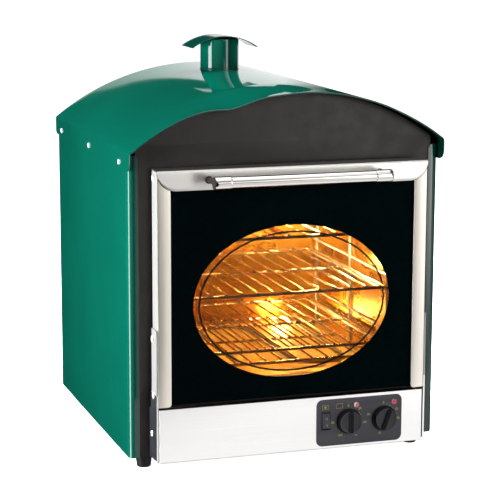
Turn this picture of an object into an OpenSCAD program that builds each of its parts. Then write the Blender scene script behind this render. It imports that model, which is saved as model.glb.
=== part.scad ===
// Counter-top baked potato oven: arched canopy roof with a flue pipe, drop-down glass door, three wire shelves and a
// front console with a rocker switch and two dials. Millimetres, +Z up, the front faces -Y, and the origin is the middle
// of the footprint on the surface that the feet stand on.

/* [Casing] */
// Width over the two side panels
body_w = 450; // [444:1:456]
// Depth of the casing, from the front flange to the back panel
body_d = 420; // [410:1:430]
// Height of the eave fold above the feet's underside
eave_h = 442; // [441:1:448]
// Height of the feet
foot_h = 18.5; // [15:0.5:20]
// Diameter of a foot at its top
foot_d = 23.4; // [18:0.2:26]
// Casing sheet thickness
sheet = 1.2; // [1:0.1:1.5]
// Bend radius along the front edge of a side panel
bend_r = 9; // [7:0.5:10]
// Width of the side panels' front flange
flange_w = 15; // [13:0.5:16]

/* [Roof] */
// Rise of the arch above the eave fold
roof_rise = 79; // [75:0.5:83]
// Roof sheet thickness
roof_t = 1.5; // [1.2:0.1:2]
// Overhang in front of the casing
roof_front = 18.5; // [14:0.5:22]
// Overhang behind the casing
roof_back = 14; // [10:0.5:20]
// Height of the vertical lip along each eave
lip_h = 26; // [24:0.5:28]
// Thickness of the rolled front and rear edge
hem_t = 2.4; // [2.2:0.1:4]

/* [Flue] */
// Outside diameter of the flue pipe
pipe_d = 58; // [54:1:60]
// Distance of the flue pipe behind the front flange
pipe_y = 311; // [300:1:315]
// Width of the arched cap
cap_w = 102; // [92:1:112]
// Depth of the arched cap
cap_l = 60; // [56:1:66]
// Rise of the arched cap
cap_rise = 16.2; // [14:0.1:18]

/* [Door] */
// Width over the door's stiles
door_w = 386.4; // [384:0.2:387]
// How far the door's front stands in front of the flange
door_proud = 36.3; // [35:0.1:37]
// Depth of the door frame
door_t = 28.3; // [27:0.1:28.5]
// Width of a stile's front face
stile_w = 18.4; // [16:0.2:20]
// Height of the top rail
rail_h = 27.5; // [25:0.5:30]
// Width of the clear oval in the glass
oval_w = 284; // [260:1:290]
// Height of the clear oval in the glass
oval_h = 212.6; // [190:1:216]
// Length of the handle tube
handle_l = 250; // [230:2:270]
// Diameter of the handle tube
handle_d = 16; // [14:0.5:18]
// Stand-off of the handle's axis from the door's front
handle_reach = 34; // [32:0.5:38]
// How far the door opens in degrees
door_open = 90; // [60:5:90]

/* [Oven] */
// Clear width of the oven
cav_w = 330; // [326:2:332]
// Clear depth of the oven
cav_d = 335; // [325:1:340]
// Distance between two shelf wires
wire_pitch = 23; // [20:0.5:28]
// Diameter of a shelf's frame wire
frame_wire = 5; // [4:0.5:5]

/* [Console] */
// Width of the console front
console_w = 384.8; // [380:0.2:385]
// Height of the console front
console_h = 75; // [72:1:75]
// Diameter of a dial's skirt
knob_d = 36; // [32:1:38]
// Diameter of an indicator lamp
lamp_d = 7; // [7:0.5:10]

/* [Hidden] */

$fn = 64;
e = 0.01;
zb = foot_h;                               // underside of the casing
hb = body_w / 2;                           // casing half width
rw = hb + roof_t;                          // roof half width
R = (rw * rw + roof_rise * roof_rise) / (2 * roof_rise);
zc = eave_h + roof_rise - R;               // centre of the roof's arc
z_apex = eave_h + roof_rise;
rb = 5;                                    // bend radius of the eave fold
z5 = zc + sqrt((R - rb) * (R - rb) - (rw - rb) * (rw - rb));
lip_z = eave_h - lip_h;
y_roof0 = -roof_front;
y_roof1 = body_d + roof_back;
pipe_r = pipe_d / 2;
pipe_ri = pipe_r - 1.7;
cap_R = (cap_w * cap_w / 4 + cap_rise * cap_rise) / (2 * cap_rise);
pipe_top = z_apex + 45.5;
cap_top = z_apex + 50;
cap_zc = cap_top - cap_R;
yd0 = -door_proud;                         // door's front face
yd1 = yd0 + door_t;                        // door's inner face
dw = door_w / 2;
door_z0 = zb + 78.2;
door_z1 = zb + 401;
rail_z0 = door_z1 - rail_h;
yh = yd0 - handle_reach;                   // handle axis
zh = zb + 387;
hr = handle_d / 2;
oval_z = zb + 212.7;
piv_y = -23;                               // door pivot
piv_z = zb + 93;
win_z0 = zb + 102;                         // mouth of the oven in the fascia
win_z1 = zb + 362;
cz0 = zb + 98;                             // oven floor's upper face
cz1 = zb + 366;                            // oven ceiling's lower face
ch = cav_w / 2;
cy0 = 3;
cy1 = cy0 + cav_d;
shelf_z = [zb + 133, zb + 213, zb + 292.4];  // axis height of the shelves' frame wires
dial_x = [81.5, 134.3];
dial_z = zb + 38;
lamp_x = [93, 150];
lamp_z = zb + 60.2;
lab_x0 = 33.5; lab_x1 = 161.3; lab_z0 = zb + 4; lab_z1 = zb + 71;
sw_x = 47.8; sw_z = zb + 40.2;
cw = console_w / 2;
y_front = yh - hr - 0.8;
y_mid = (y_front + y_roof1) / 2;

GREEN = "#0f7a62"; BLACK = "#2b2927"; STEEL = "#d9d7d2"; DARK = "#454449"; WOOL = "#e8e0c0"; CHROME = "#e6e6e8";

// Moves a module's geometry into the part's frame
module place() translate([0, -y_mid, 0]) children();
// Extrudes an outline drawn in X and Z from y0 to y1
module xz(y0, y1) translate([0, y1, 0]) rotate([90, 0, 0]) linear_extrude(y1 - y0) children();
// Extrudes an outline drawn in Y and Z from x0 to x1
module yz(x0, x1) translate([x0, 0, 0]) rotate([90, 0, 90]) linear_extrude(x1 - x0) children();
module cyl_x(x0, x1, r) translate([x0, 0, 0]) rotate([0, 90, 0]) cylinder(h = x1 - x0, r = r);
module cyl_y(y0, y1, r) translate([0, y1, 0]) rotate([90, 0, 0]) cylinder(h = y1 - y0, r = r);
module box(a, b) translate(a) cube([b[0] - a[0], b[1] - a[1], b[2] - a[2]]);
module both() { children(); mirror([1, 0, 0]) children(); }
module rrect(w, h, r) {
  square([w - 2 * r, h], center = true);
  square([w, h - 2 * r], center = true);
  for (sx = [-1, 1], sy = [-1, 1]) translate([sx * (w / 2 - r), sy * (h / 2 - r)]) circle(r);
}
// Pan-head screw lying along +X, the underside of its head at x = 0
module screw_x(hd, hh, sd, sl) {
  rotate([0, 90, 0]) {
    cylinder(h = hh * 0.45, r = hd / 2);
    translate([0, 0, hh * 0.45]) cylinder(h = hh * 0.35, r1 = hd / 2, r2 = hd * 0.43);
    translate([0, 0, hh * 0.8]) cylinder(h = hh * 0.2, r1 = hd * 0.43, r2 = hd * 0.3);
    translate([0, 0, -sl]) cylinder(h = sl, r = sd / 2);
  }
}

// Outline of the roof's section, its outer skin moved inwards by off
module roof_region(off, low) {
  xt = (rw - rb) * (R - off) / (R - rb);
  intersection() {
    translate([0, zc]) circle(R - off, $fn = 180);
    translate([-xt, z5 - 1]) square([2 * xt, roof_rise + 20]);
  }
  for (s = [-1, 1]) translate([s * (rw - rb), z5]) circle(rb - off);
  translate([-(rw - off), low]) square([2 * (rw - off), z5 - low]);
  translate([-(rw - rb), z5 - 2]) square([2 * (rw - rb), 4]);
}
// Side view of the roof with its lip's lower corners rounded
module roof_side() {
  cf = 15;
  cr = 7;
  difference() {
    translate([y_roof0, lip_z]) square([y_roof1 - y_roof0, 200]);
    translate([y_roof0 - e, lip_z - e]) difference() { square(cf); translate([cf, cf]) circle(cf); }
    translate([y_roof1 + e, lip_z - e]) mirror([1, 0]) difference() { square(cr); translate([cr, cr]) circle(cr); }
  }
}

roof_screw_y = [36.6, 213, 392.9];
roof_screw_z = lip_z + 8.2;
module side_panel() difference() {
  zt = eave_h - 3.6;
  zf = zb + 418;
  fl = flange_w - bend_r;
  union() {
    // side sheet
    box([hb - sheet, bend_r, zb], [hb, body_d, zt]);
    // rounded front edge
    translate([hb - bend_r, bend_r, zb]) intersection() {
      difference() { cylinder(h = zf - zb, r = bend_r); translate([0, 0, -1]) cylinder(h = zf, r = bend_r - sheet); }
      translate([0, -bend_r, 0]) cube([bend_r, bend_r, zf]);
    }
    // front flange with its inner top corner rounded
    xz(0, sheet) difference() {
      translate([hb - flange_w, zb]) square([fl, zf - zb]);
      translate([hb - flange_w - e, zf + e]) mirror([0, 1]) difference() { square(fl - 0.5); translate([fl - 0.5, fl - 0.5]) circle(fl - 0.5); }
    }
    // rear flange that the back panel is screwed to
    box([hb - flange_w, body_d - 3.8, zb + 2], [hb, body_d - 2.6, zt - 14]);
  }
  for (y = roof_screw_y) translate([0, y, roof_screw_z]) cyl_x(hb - 5, hb + 5, 1.8);
  for (z = back_screw_z) translate([back_screw_x, 0, z]) cyl_y(body_d - 8, body_d + 1, 1.6);
}
back_screw_x = hb - 9;
back_screw_z = [zb + 12, zb + 210, zb + 395];
module side_panel_right() color(GREEN) place() side_panel();
module side_panel_left() color(GREEN) place() mirror([1, 0, 0]) side_panel();

module roof_canopy() color(GREEN) place() difference() {
  union() {
    intersection() {
      xz(y_roof0, y_roof1) difference() { roof_region(0, lip_z - 1); roof_region(roof_t, lip_z - 2); }
      yz(-300, 300) roof_side();
    }
    for (y = [y_roof0, y_roof1 - 3]) xz(y, y + 3) intersection() {
      difference() { roof_region(0.2, z5 - 3); roof_region(hem_t, z5 - 4); }
      translate([-rw, z5 + 3]) square([2 * rw, 200]);
    }
  }
  translate([0, pipe_y, z_apex - 20]) cylinder(h = 40, r = pipe_ri);
  both() for (y = roof_screw_y) translate([0, y, roof_screw_z]) cyl_x(hb - 5, hb + 5, 1.8);
}

module roof_screws() color(CHROME) place() both()
  for (y = roof_screw_y) translate([rw, y, roof_screw_z]) screw_x(7.5, 1.7, 3.5, roof_t + sheet + 4);

module flue_pipe() color(GREEN) place() difference() {
  union() {
    // the mouth is cut to the cap's arch
    intersection() {
      translate([0, pipe_y, z_apex - 15]) cylinder(h = pipe_top - z_apex + 15, r = pipe_r);
      xz(pipe_y - 60, pipe_y + 60) translate([0, cap_zc]) circle(cap_R - sheet - 0.3, $fn = 120);
    }
    intersection() {
      translate([0, pipe_y, z_apex - 15]) cylinder(h = 30, r = pipe_r + 0.6);
      xz(pipe_y - 60, pipe_y + 60) translate([0, zc]) circle(R + 2.2, $fn = 180);
    }
  }
  translate([0, pipe_y, z_apex - 20]) cylinder(h = 100, r = pipe_ri);
  xz(pipe_y - 70, pipe_y + 70) translate([0, zc]) circle(R, $fn = 180);
}

module cap_ring(o, i) difference() { circle(o, $fn = 120); circle(i, $fn = 120); }
module flue_cap() color(GREEN) place() xz(pipe_y - cap_l / 2, pipe_y + cap_l / 2) intersection() {
  translate([0, cap_zc]) cap_ring(cap_R, cap_R - sheet);
  translate([-cap_w / 2, cap_top - cap_rise - 2]) square([cap_w, 40]);
}
module cap_straps() color(STEEL) place() both() {
  xz(pipe_y - 6, pipe_y + 6) intersection() {
    translate([25.1, pipe_top - 24]) square([1.3, 40]);
    translate([0, cap_zc]) circle(cap_R - sheet, $fn = 120);
  }
  xz(pipe_y - 6, pipe_y + 6) intersection() {
    translate([0, cap_zc]) cap_ring(cap_R - sheet, cap_R - 2 * sheet);
    translate([12, cap_top - 20]) square([13.5, 40]);
  }
}

module fascia_outline(w, off, low) intersection() {
  roof_region(off, low);
  translate([-w / 2, low]) square([w, 600]);
}
module front_fascia() color(BLACK) place() xz(1.5, 1.5 + sheet) difference() {
  fascia_outline(2 * hb - 20, roof_t + 0.8, zb);
  translate([0, (win_z0 + win_z1) / 2]) rrect(cav_w - 6, win_z1 - win_z0, 8);
  translate([0, zb + 38]) rrect(320, 56, 4);
}
module back_panel() color("#8f9291") place() xz(body_d - 2.4, body_d - sheet) difference() {
  fascia_outline(2 * (hb - sheet - 0.2), roof_t + 0.4, zb + 1.3);
  for (sx = [-1, 1], i = [0 : 5]) translate([sx * 90, zb + 30 + i * 12]) rrect(100, 5, 2.4);
  for (i = [0 : 4]) translate([0, zb + 395 + i * 12]) rrect(180 - i * 16, 5, 2.4);
  translate([190, zb + 45]) circle(8);
  for (sx = [-1, 1], z = back_screw_z) translate([sx * back_screw_x, z]) circle(1.6);
}
module back_panel_screws() color(CHROME) place()
  for (sx = [-1, 1], z = back_screw_z) translate([sx * back_screw_x, body_d - sheet, z]) rotate([0, 0, 90]) screw_x(7, 1.6, 3, 8);

module base_panel() color("#7d807f") place() difference() {
  box([-(hb - sheet - 0.2), bend_r + 0.5, zb], [hb - sheet - 0.2, body_d - 2.5, zb + sheet]);
  for (sx = [-1, 1], sy = [22, body_d - 22]) translate([sx * 199, sy, zb - 5]) cylinder(h = 10, r = 2.5);
  for (i = [-6 : 6]) translate([i * 16, 240, zb - 1]) linear_extrude(4) rrect(6, 120, 2.8);
}
module foot() rotate_extrude($fn = 48) difference() {
  polygon([[0, 0], [foot_d * 0.4, 0], [foot_d * 0.44, 1.4], [foot_d / 2, zb - 1.2], [foot_d / 2, zb], [0, zb]]);
  translate([-1, 8]) square([3.5, 30]);
}
module feet() color("#232326") place() for (sx = [-1, 1], y = [22, body_d - 22]) translate([sx * 199, y, 0]) foot();
module foot_screws() color(CHROME) place() for (sx = [-1, 1], y = [22, body_d - 22]) translate([sx * 199, y, 0]) {
  translate([0, 0, 8]) cylinder(h = zb + sheet - 8 + e, r = 2.5);
  translate([0, 0, zb + sheet]) cylinder(h = 3, r = 4.5);
}
module cable_gland() color("#242424") place() translate([190, body_d, zb + 45]) difference() {
  union() {
    cyl_y(-sheet, 3, 13);
    cyl_y(3, 13, 10);
    cyl_y(-14, -sheet + e, 7.9);
    translate([0, -7, 0]) rotate([90, 0, 0]) cylinder(h = 6, r = 11, $fn = 6);
  }
  cyl_y(-20, 20, 4.5);
}

module oven_floor() color(STEEL) place() box([-ch, cy0, cz0 - 1], [ch, cy1, cz0]);
module oven_ceiling() color(STEEL) place() difference() {
  box([-ch, cy0, cz1], [ch, cy1, cz1 + 1]);
  for (s = [-1, 1]) translate([s * 85, 75, cz1 - 2]) cylinder(h = 6, r = 15);
  translate([0, pipe_y, cz1 - 2]) cylinder(h = 6, r = 22);
}
module oven_side() box([ch, cy0, cz0 - 1], [ch + 1, cy1, cz1 + 1]);
module oven_side_right() color(STEEL) place() oven_side();
module oven_side_left() color(STEEL) place() mirror([1, 0, 0]) oven_side();
module oven_back() color(STEEL) place() difference() {
  box([-ch - 1, cy1, cz0 - 1], [ch + 1, cy1 + 1, cz1 + 1]);
  for (s = [-1, 1], z = [cz0 + 3.2, cz1 - 11]) translate([s * 120, 0, z]) cyl_y(cy1 - 2, cy1 + 3, 3);
  translate([cap_x, 0, cz0 + 150]) cyl_y(cy1 - 2, cy1 + 3, 3);
}
module flue_duct() color(STEEL) place() translate([0, pipe_y, 0]) difference() {
  union() {
    translate([0, 0, cz1 + 1]) cylinder(h = 1.5, r = 26);
    translate([0, 0, cz1 + 1]) cylinder(h = z_apex + 10 - cz1 - 1, r = 23.2);
  }
  translate([0, 0, cz1]) cylinder(h = 300, r = 22);
}
module insulation() color(WOOL) place() difference() {
  union() {
    both() box([ch + 2, 8, cz0], [ch + 32, cy1 + 2, cz1]);
    box([-ch - 32, 8, cz1 + 3], [ch + 32, cy1 + 30, cz1 + 28]);
    box([-ch - 32, cy1 + 4, cz0 + 2], [ch + 32, cy1 + 30, cz1 + 3 + e]);
    box([-ch, 8, cz0 - 9], [ch, cy1, cz0 - 2]);
  }
  for (s = [-1, 1]) translate([s * 85, 75, cz1]) cylinder(h = 40, r = 19);
  translate([0, pipe_y, cz1]) cylinder(h = 40, r = 27);
  for (s = [-1, 1], z = [cz0 + 3.2, cz1 - 11]) translate([s * 120, 0, z]) cyl_y(cy1, cy1 + 40, 6);
  translate([cap_x, 0, cz0 + 150]) cyl_y(cy1, cy1 + 40, 5);
}
cap_x = 90;                                // where the thermostat's capillary runs

// The seal is fixed to the door's inner face and closes on the fascia around the mouth
module door_seal() color("#6e2f22") place() xz(yd1 + 0.05, 1.3) translate([0, (win_z0 + win_z1) / 2]) difference() {
  rrect(cav_w + 8, win_z1 - win_z0 + 16, 14);
  rrect(cav_w - 6, win_z1 - win_z0, 8);
}

// Ladder rack: the inner rail of a level carries a shelf, and the wire above stops it tipping
module rack() {
  for (y = [28, 175, 318]) translate([ch - 2.4, y, cz0]) cylinder(h = cz1 - cz0, r = 2);
  for (z = shelf_z) {
    zr = z - frame_wire / 2 - 2.3;
    translate([ch - 8, 0, zr]) cyl_y(20, 330, 2);
    for (dz = [0, 20]) translate([ch - 2.4, 0, zr + dz]) cyl_y(20, 330, 1.5);
    for (y = [28, 175, 318]) translate([0, y, zr]) cyl_x(ch - 8, ch - 2.4, 1.3);
  }
}
module rack_right() color(CHROME) place() rack();
module rack_left() color(CHROME) place() mirror([1, 0, 0]) rack();

// Wire shelf: a heavy front rod, a lighter frame bent round the back, and wires running from front to back
module shelf(z, y0, y1, hw) {
  r = frame_wire / 2;
  q = r - 0.25;
  c = 12;
  translate([0, y0, z]) cyl_x(-hw - 4.3, hw + 4.3, r);
  translate([0, y1, z]) cyl_x(-hw + c, hw - c, q);
  for (s = [-1, 1]) translate([s * hw, 0, z]) cyl_y(y0, y1 - c, q);
  for (s = [-1, 1]) translate([s * (hw - c), y1 - c, z])
    rotate([0, 0, s > 0 ? 0 : 90]) rotate_extrude(angle = 90) translate([c, 0]) circle(q, $fn = 24);
  n = floor((hw - 6) / wire_pitch - 0.5);
  for (i = [-n - 1 : n]) translate([(i + 0.5) * wire_pitch, 0, z + r + 0.8]) cyl_y(y0 - 1, y1 + 1, 1.5);
  translate([0, (y0 + y1) / 2, z]) cyl_x(-hw, hw, 2);
}
module shelf_upper() color(CHROME) place() shelf(shelf_z[2], 20, 326, ch - 8);
module shelf_middle() color(CHROME) place() shelf(shelf_z[1], 20, 326, ch - 8);
module shelf_lower() color(CHROME) place() shelf(shelf_z[0], 20, 326, ch - 8);
module floor_grid() color(CHROME) place() {
  shelf(cz0 + 9.2, 50, 320, ch - 14);
  for (s = [-1, 1], y = [75, 295]) translate([s * (ch - 14), y, cz0]) cylinder(h = 9.2, r = 2);
}
// Tubular element: four legs joined by half-round bends, its ends through the oven's back
module element(z, r) {
  for (s = [-1, 1]) translate([s * 120, 0, z]) cyl_y(100, cy1 + 34, r);
  for (s = [-1, 1]) translate([s * 40, 0, z]) cyl_y(100, 270, r);
  for (s = [-1, 1]) translate([s * 80, 100, z]) rotate([0, 0, 180]) rotate_extrude(angle = 180) translate([40, 0]) circle(r, $fn = 24);
  translate([0, 270, z]) rotate_extrude(angle = 180) translate([40, 0]) circle(r, $fn = 24);
}
module element_bottom() color("#5b5048") place() element(cz0 + 3.2, 2.9);
module element_top() color("#5b5048") place() element(cz1 - 11, 2.9);
module lamp_housings() color(STEEL) place() for (s = [-1, 1]) translate([s * 85, 75, 0]) difference() {
  union() {
    translate([0, 0, cz1 - 1.5]) cylinder(h = 1.5, r = 20);
    translate([0, 0, cz1 - e]) cylinder(h = 26, r = 14.8);
  }
  translate([0, 0, cz1 - 5]) cylinder(h = 25, r = 12.5);
}
module lamp_lenses() color([1, 0.8, 0.4, 0.6]) place() for (s = [-1, 1]) translate([s * 85, 75, cz1 - 1.5]) {
  cylinder(h = 8, r = 12.4);
  difference() { translate([0, 0, 3]) sphere(r = 12.8); translate([-20, -20, 1]) cube(40); }
}
module thermostat_phial() color("#b8763a") place() {
  translate([cap_x, 0, cz0 + 150]) cyl_y(cy1 - 80, cy1 - 5, 3);
  translate([cap_x, 0, cz0 + 150]) cyl_y(cy1 - 6, cy1 + 33, 1.2);
  translate([cap_x, cy1 + 33, zb + 45]) cylinder(h = cz0 + 150 - zb - 45, r = 1.1);
  translate([cap_x, 0, zb + 45]) cyl_y(yd0 + sheet + 26, cy1 + 33, 1.2);
}

// Door
module door_stile() {
  t = 1.2;
  x0 = dw - stile_w;
  difference() {
    intersection() {
      union() {
        box([x0, yd0, door_z0], [dw, yd0 + t, door_z1 - 1.3]);
        box([dw - t, yd0, door_z0], [dw, yd1, door_z1 - 1.3]);
        box([dw - 14, yd1 - t, door_z0 + 4], [dw, yd1, door_z1 - 1.3]);
        box([x0, yd0, door_z0], [x0 + t, yd0 + 3.2, rail_z0 + 8]);
      }
      yz(0, 300) difference() {
        translate([yd0, door_z0]) square([door_t, door_z1 - door_z0]);
        translate([yd0 - e, door_z0 - e]) difference() { square(2.5); translate([2.5, 2.5]) circle(2.5); }
      }
      xz(yd0 - 5, yd1 + 5) difference() {
        translate([x0, door_z0]) square([stile_w + 1, door_z1 - door_z0]);
        translate([x0 - e, door_z0 - e]) difference() { square(4.5); translate([4.5, 4.5]) circle(4.5); }
      }
    }
    // the pivot bolt runs in the bush alone
    translate([0, piv_y, piv_z]) cyl_x(dw - 5, dw + 5, 3.5);
    translate([0, -15.5, zb + 388.4]) cyl_x(dw - 5, dw + 5, 2);
  }
}
module door_stile_right() color(STEEL) place() door_stile();
module door_stile_left() color(STEEL) place() mirror([1, 0, 0]) door_stile();
module door_top_rail() color(STEEL) place() {
  rr = rail_h - 1;
  intersection() {
    yz(-300, 300) difference() {
      translate([yd0 - 1, rail_z0]) square([door_t + 1, rail_h]);
      translate([yd0 + e, rail_z0 - 1]) square([door_t - 1.2, rail_h + 1 - 1.2]);
      translate([yd0 + 3, rail_z0 - 1]) square([door_t, rail_h + 1 - 1.2]);
      translate([yd0 - 1 - e, door_z1 + e]) mirror([0, 1]) difference() { square(2); translate([2, 2]) circle(2); }
    }
    xz(yd0 - 5, yd1 + 1) difference() {
      translate([-dw - 0.6, rail_z0]) square([2 * dw + 1.2, rail_h]);
      for (s = [0, 1]) mirror([s, 0]) translate([-dw - 0.6 - e, rail_z0 - e]) difference() { square(rr); translate([rr, rr]) circle(rr); }
    }
  }
  box([-dw + stile_w + 0.2, yd1 - 1.2, rail_z0 + 2], [dw - stile_w - 0.2, yd1, door_z1 - 1.2 + e]);
}
module door_bottom_channel() color(BLACK) place() yz(-dw + stile_w + 0.2, dw - stile_w - 0.2) {
  translate([yd0 + 2.2, door_z0]) square([door_t - 2.2, 1.2]);
  translate([yd0 + 2.2, door_z0]) square([1, 2.4]);
  translate([yd1 - 1.2, door_z0]) square([1.2, 16]);
}
gy = yd0 + 3.3;                            // front face of the outer pane
module door_glass_outer() color([0.1, 0.1, 0.1, 0.25]) place()
  box([-dw + stile_w - 5, gy, door_z0 + 1.2], [dw - stile_w + 5, gy + 4, rail_z0 + 6]);
function ell(a, b, n) = [for (i = [0 : n - 1]) [a * cos(360 * i / n), b * sin(360 * i / n)]];
module door_print() color("#0a0a0b") place() xz(gy + 4, gy + 4.5) {
  difference() {
    translate([-dw + stile_w - 4.5, door_z0 + 2]) square([2 * (dw - stile_w + 4.5), rail_z0 + 5.5 - door_z0 - 2]);
    translate([0, oval_z]) polygon(ell(oval_w / 2, oval_h / 2, 120));
  }
  translate([0, oval_z]) difference() {
    polygon(ell(oval_w / 2 - 7.2, oval_h / 2 - 8.2, 120));
    polygon(ell(oval_w / 2 - 9.6, oval_h / 2 - 10.6, 120));
  }
}
module door_glass_inner() color([0.6, 0.6, 0.6, 0.2]) place()
  box([-dw + 2, yd1 - 4.4, door_z0 + 5], [dw - 2, yd1 - 1.3, rail_z0 + 18]);
module handle_tube() color(STEEL) place() translate([0, yh, zh]) cyl_x(-handle_l / 2, handle_l / 2, hr);
module handle_sleeves() color(STEEL) place() both() translate([0, yh, zh]) difference() {
  cyl_x(handle_l / 2 - 23, handle_l / 2, hr + 0.8);
  cyl_x(handle_l / 2 - 24, handle_l / 2 + 1, hr);
}
// An end plug in the tube, and an arm from the sleeve back to a collar on the rail
module handle_brackets() color("#2c2a29") place() both() {
  translate([0, yh, zh]) cyl_x(handle_l / 2, handle_l / 2 + 0.8, hr + 0.4);
  difference() {
    translate([handle_l / 2 - 2.5, 0, zh]) union() { cyl_y(yh + 3, yd0 - 1, 3.6); cyl_y(yd0 - 3, yd0 - 1, 5.2); }
    translate([0, yh, zh]) cyl_x(handle_l / 2 - 30, handle_l / 2 + 30, hr + 0.8);
  }
}
module door_screws() color(CHROME) place() both() translate([dw, -15.5, zb + 388.4]) screw_x(8.5, 1.6, 4, 6);
module hinge_bushes() color("#cfc9bd") place() both() translate([0, piv_y, piv_z]) difference() {
  box([dw - 12, -9, -8], [dw - 1.2, 9, 9]);
  cyl_x(dw - 20, dw + 5, 3.05);
}

// Fixed hinge plates beside the door and the console
module hinge_plates() color(STEEL) place() both() difference() {
  yz(dw + 0.4, dw + 2.8) polygon([[yd0, zb + 3.5], [yd0, zb + 185], [-12, zb + 185], [-12, zb + 99], [-9.5, zb + 96], [-6.5, zb + 95],
    [-6.5, zb + 74], [1.5, zb + 71], [1.5, zb + 2]]);
  translate([0, piv_y, piv_z]) cyl_x(dw - 2, dw + 5, 3);
  translate([0, -15, zb + 38]) cyl_x(dw - 2, dw + 5, 2.5);
  translate([0, -19, zb + 171]) cyl_x(dw - 2, dw + 5, 2.5);
}
module hinge_bolts() color(CHROME) place() both() {
  translate([dw + 2.8, piv_y, piv_z]) screw_x(9, 2, 6, 13.8);
  translate([dw + 2.8, -15, zb + 38]) screw_x(9, 2, 5, 7);
  translate([dw + 2.8, -19, zb + 171]) screw_x(9, 2, 5, 2.4);
}

module console_front() color(STEEL) place() difference() {
  union() {
    box([-cw, yd0, zb], [cw, yd0 + sheet, zb + console_h]);
    for (s = [-1, 1]) box([s > 0 ? cw - sheet : -cw, yd0, zb], [s > 0 ? cw : -cw + sheet, 1.5, zb + console_h - 5]);
    box([-cw, yd0, zb], [cw, 1.5, zb + sheet]);
    both() difference() {
      translate([cw, -15, zb + 38]) cyl_x(-0.2, dw + 0.4 - cw, 6);
      translate([cw, -15, zb + 38]) cyl_x(-2, 2, 2.5);
    }
  }
  for (x = dial_x) translate([x, 0, dial_z]) cyl_y(yd0 - 2, yd0 + 4, 5);
  for (x = lamp_x) translate([x, 0, lamp_z]) cyl_y(yd0 - 2, yd0 + 4, lamp_d / 2 - 0.6);
  xz(yd0 - 2, yd0 + 4) translate([sw_x, sw_z]) square([11.7, 25.1], center = true);
  both() translate([0, -15, zb + 38]) cyl_x(cw - 10, cw + 10, 2.5);
}
module console_deck() color(BLACK) place() box([-cw + sheet + 0.1, yd0 + sheet + 0.1, zb + 68], [cw - sheet - 0.1, 1.4, zb + 69.2]);
module label_plate() color(DARK) place() xz(yd0 - 0.6, yd0) difference() {
  translate([(lab_x0 + lab_x1) / 2, (lab_z0 + lab_z1) / 2]) rrect(lab_x1 - lab_x0, lab_z1 - lab_z0, 9);
  for (x = dial_x) translate([x, dial_z]) circle(5);
  for (x = lamp_x) translate([x, lamp_z]) circle(lamp_d / 2 - 0.6);
  translate([sw_x, sw_z]) square([11.7, 25.1], center = true);
}
// Dial with a skirt, a disc and a raised grip bar, bored from behind for its shaft
yk = yd0 - 1.2;
module knob() difference() {
  union() {
    cyl_y(yk - 2.4, yk, knob_d / 2);
    cyl_y(yk - 9.8, yk - 2.4, knob_d / 2 - 2.2);
    intersection() {
      box([-3.7, yk - 13, -knob_d / 2], [3.7, yk - 9.8, knob_d / 2]);
      cyl_y(yk - 15, yk, knob_d / 2 - 2.2);
    }
  }
  cyl_y(yk - 9, yk + 1, 3);
}
module shaft() cyl_y(yk - 9, yd0 + 22, 3);
module thermostat_knob() color("#39383c") place() translate([dial_x[0], 0, dial_z]) knob();
module timer_knob() color("#39383c") place() translate([dial_x[1], 0, dial_z]) rotate([0, 20, 0]) knob();
module thermostat_shaft() color(CHROME) place() translate([dial_x[0], 0, dial_z]) shaft();
module timer_shaft() color(CHROME) place() translate([dial_x[1], 0, dial_z]) shaft();

rk_y = yd0 + 3.5;                          // rocker pivot
module rocker_bezel() color("#1d1d1f") place() {
  xz(yd0 - 2.6, yd0 - 0.6) translate([sw_x, sw_z]) difference() { rrect(13.6, 26.8, 1.2); square([10.6, 24], center = true); }
  xz(yd0 - 1, yd0 + 16) translate([sw_x, sw_z]) difference() { square([11.6, 25], center = true); square([10.6, 24], center = true); }
  xz(yd0 + 15, yd0 + 18) translate([sw_x, sw_z]) square([11.6, 25], center = true);
  translate([0, rk_y, sw_z]) { cyl_x(sw_x - 5.4, sw_x - 3.5, 1.2); cyl_x(sw_x + 3.5, sw_x + 5.4, 1.2); }
}
module rocker_button() color("#2a2a2d") place() translate([sw_x, rk_y, sw_z]) rotate([-8, 0, 0]) difference() {
  yz(-5, 5) polygon([[-8.8, -10.5], [-7.4, 0], [-8.8, 10.5], [-2, 10], [4, 5], [4, -5], [-2, -10]]);
  cyl_x(-6, 6, 1.25);
}
module indicator_lamps() color("#e8405c") place() for (x = lamp_x) translate([x, yd0 - 0.6, lamp_z]) rotate([90, 0, 0]) {
  r = lamp_d / 2;
  cylinder(h = 0.8, r = r + 0.5);
  translate([0, 0, 0.8]) cylinder(h = 1.2, r = r - 0.2);
  translate([0, 0, 2]) cylinder(h = 0.6, r1 = r - 0.2, r2 = r - 0.9);
  translate([0, 0, 2.6]) cylinder(h = 0.4, r1 = r - 0.9, r2 = r - 2.2);
  translate([0, 0, -18]) cylinder(h = 18, r = r - 0.7);
}
module control_body() difference() {
  union() {
    translate([0, yd0 + sheet, 0]) box([-18, 0, -18], [18, 26, 18]);
    cyl_y(yd0 - 0.4, yd0 + sheet + 1, 4.9);
  }
  cyl_y(yd0 - 3, yd0 + 24, 3.05);
}
module thermostat_body() color("#3f4146") place() translate([dial_x[0], 0, dial_z]) control_body();
module timer_body() color("#3f4146") place() translate([dial_x[1], 0, dial_z]) control_body();
module terminal_block() color("#e9e7df") place() difference() {
  box([120, body_d - 75, zb + sheet], [180, body_d - 55, zb + sheet + 18]);
  for (i = [0 : 4]) translate([126 + i * 12, body_d - 65, zb + 10]) cylinder(h = 20, r = 2.4);
}

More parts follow.
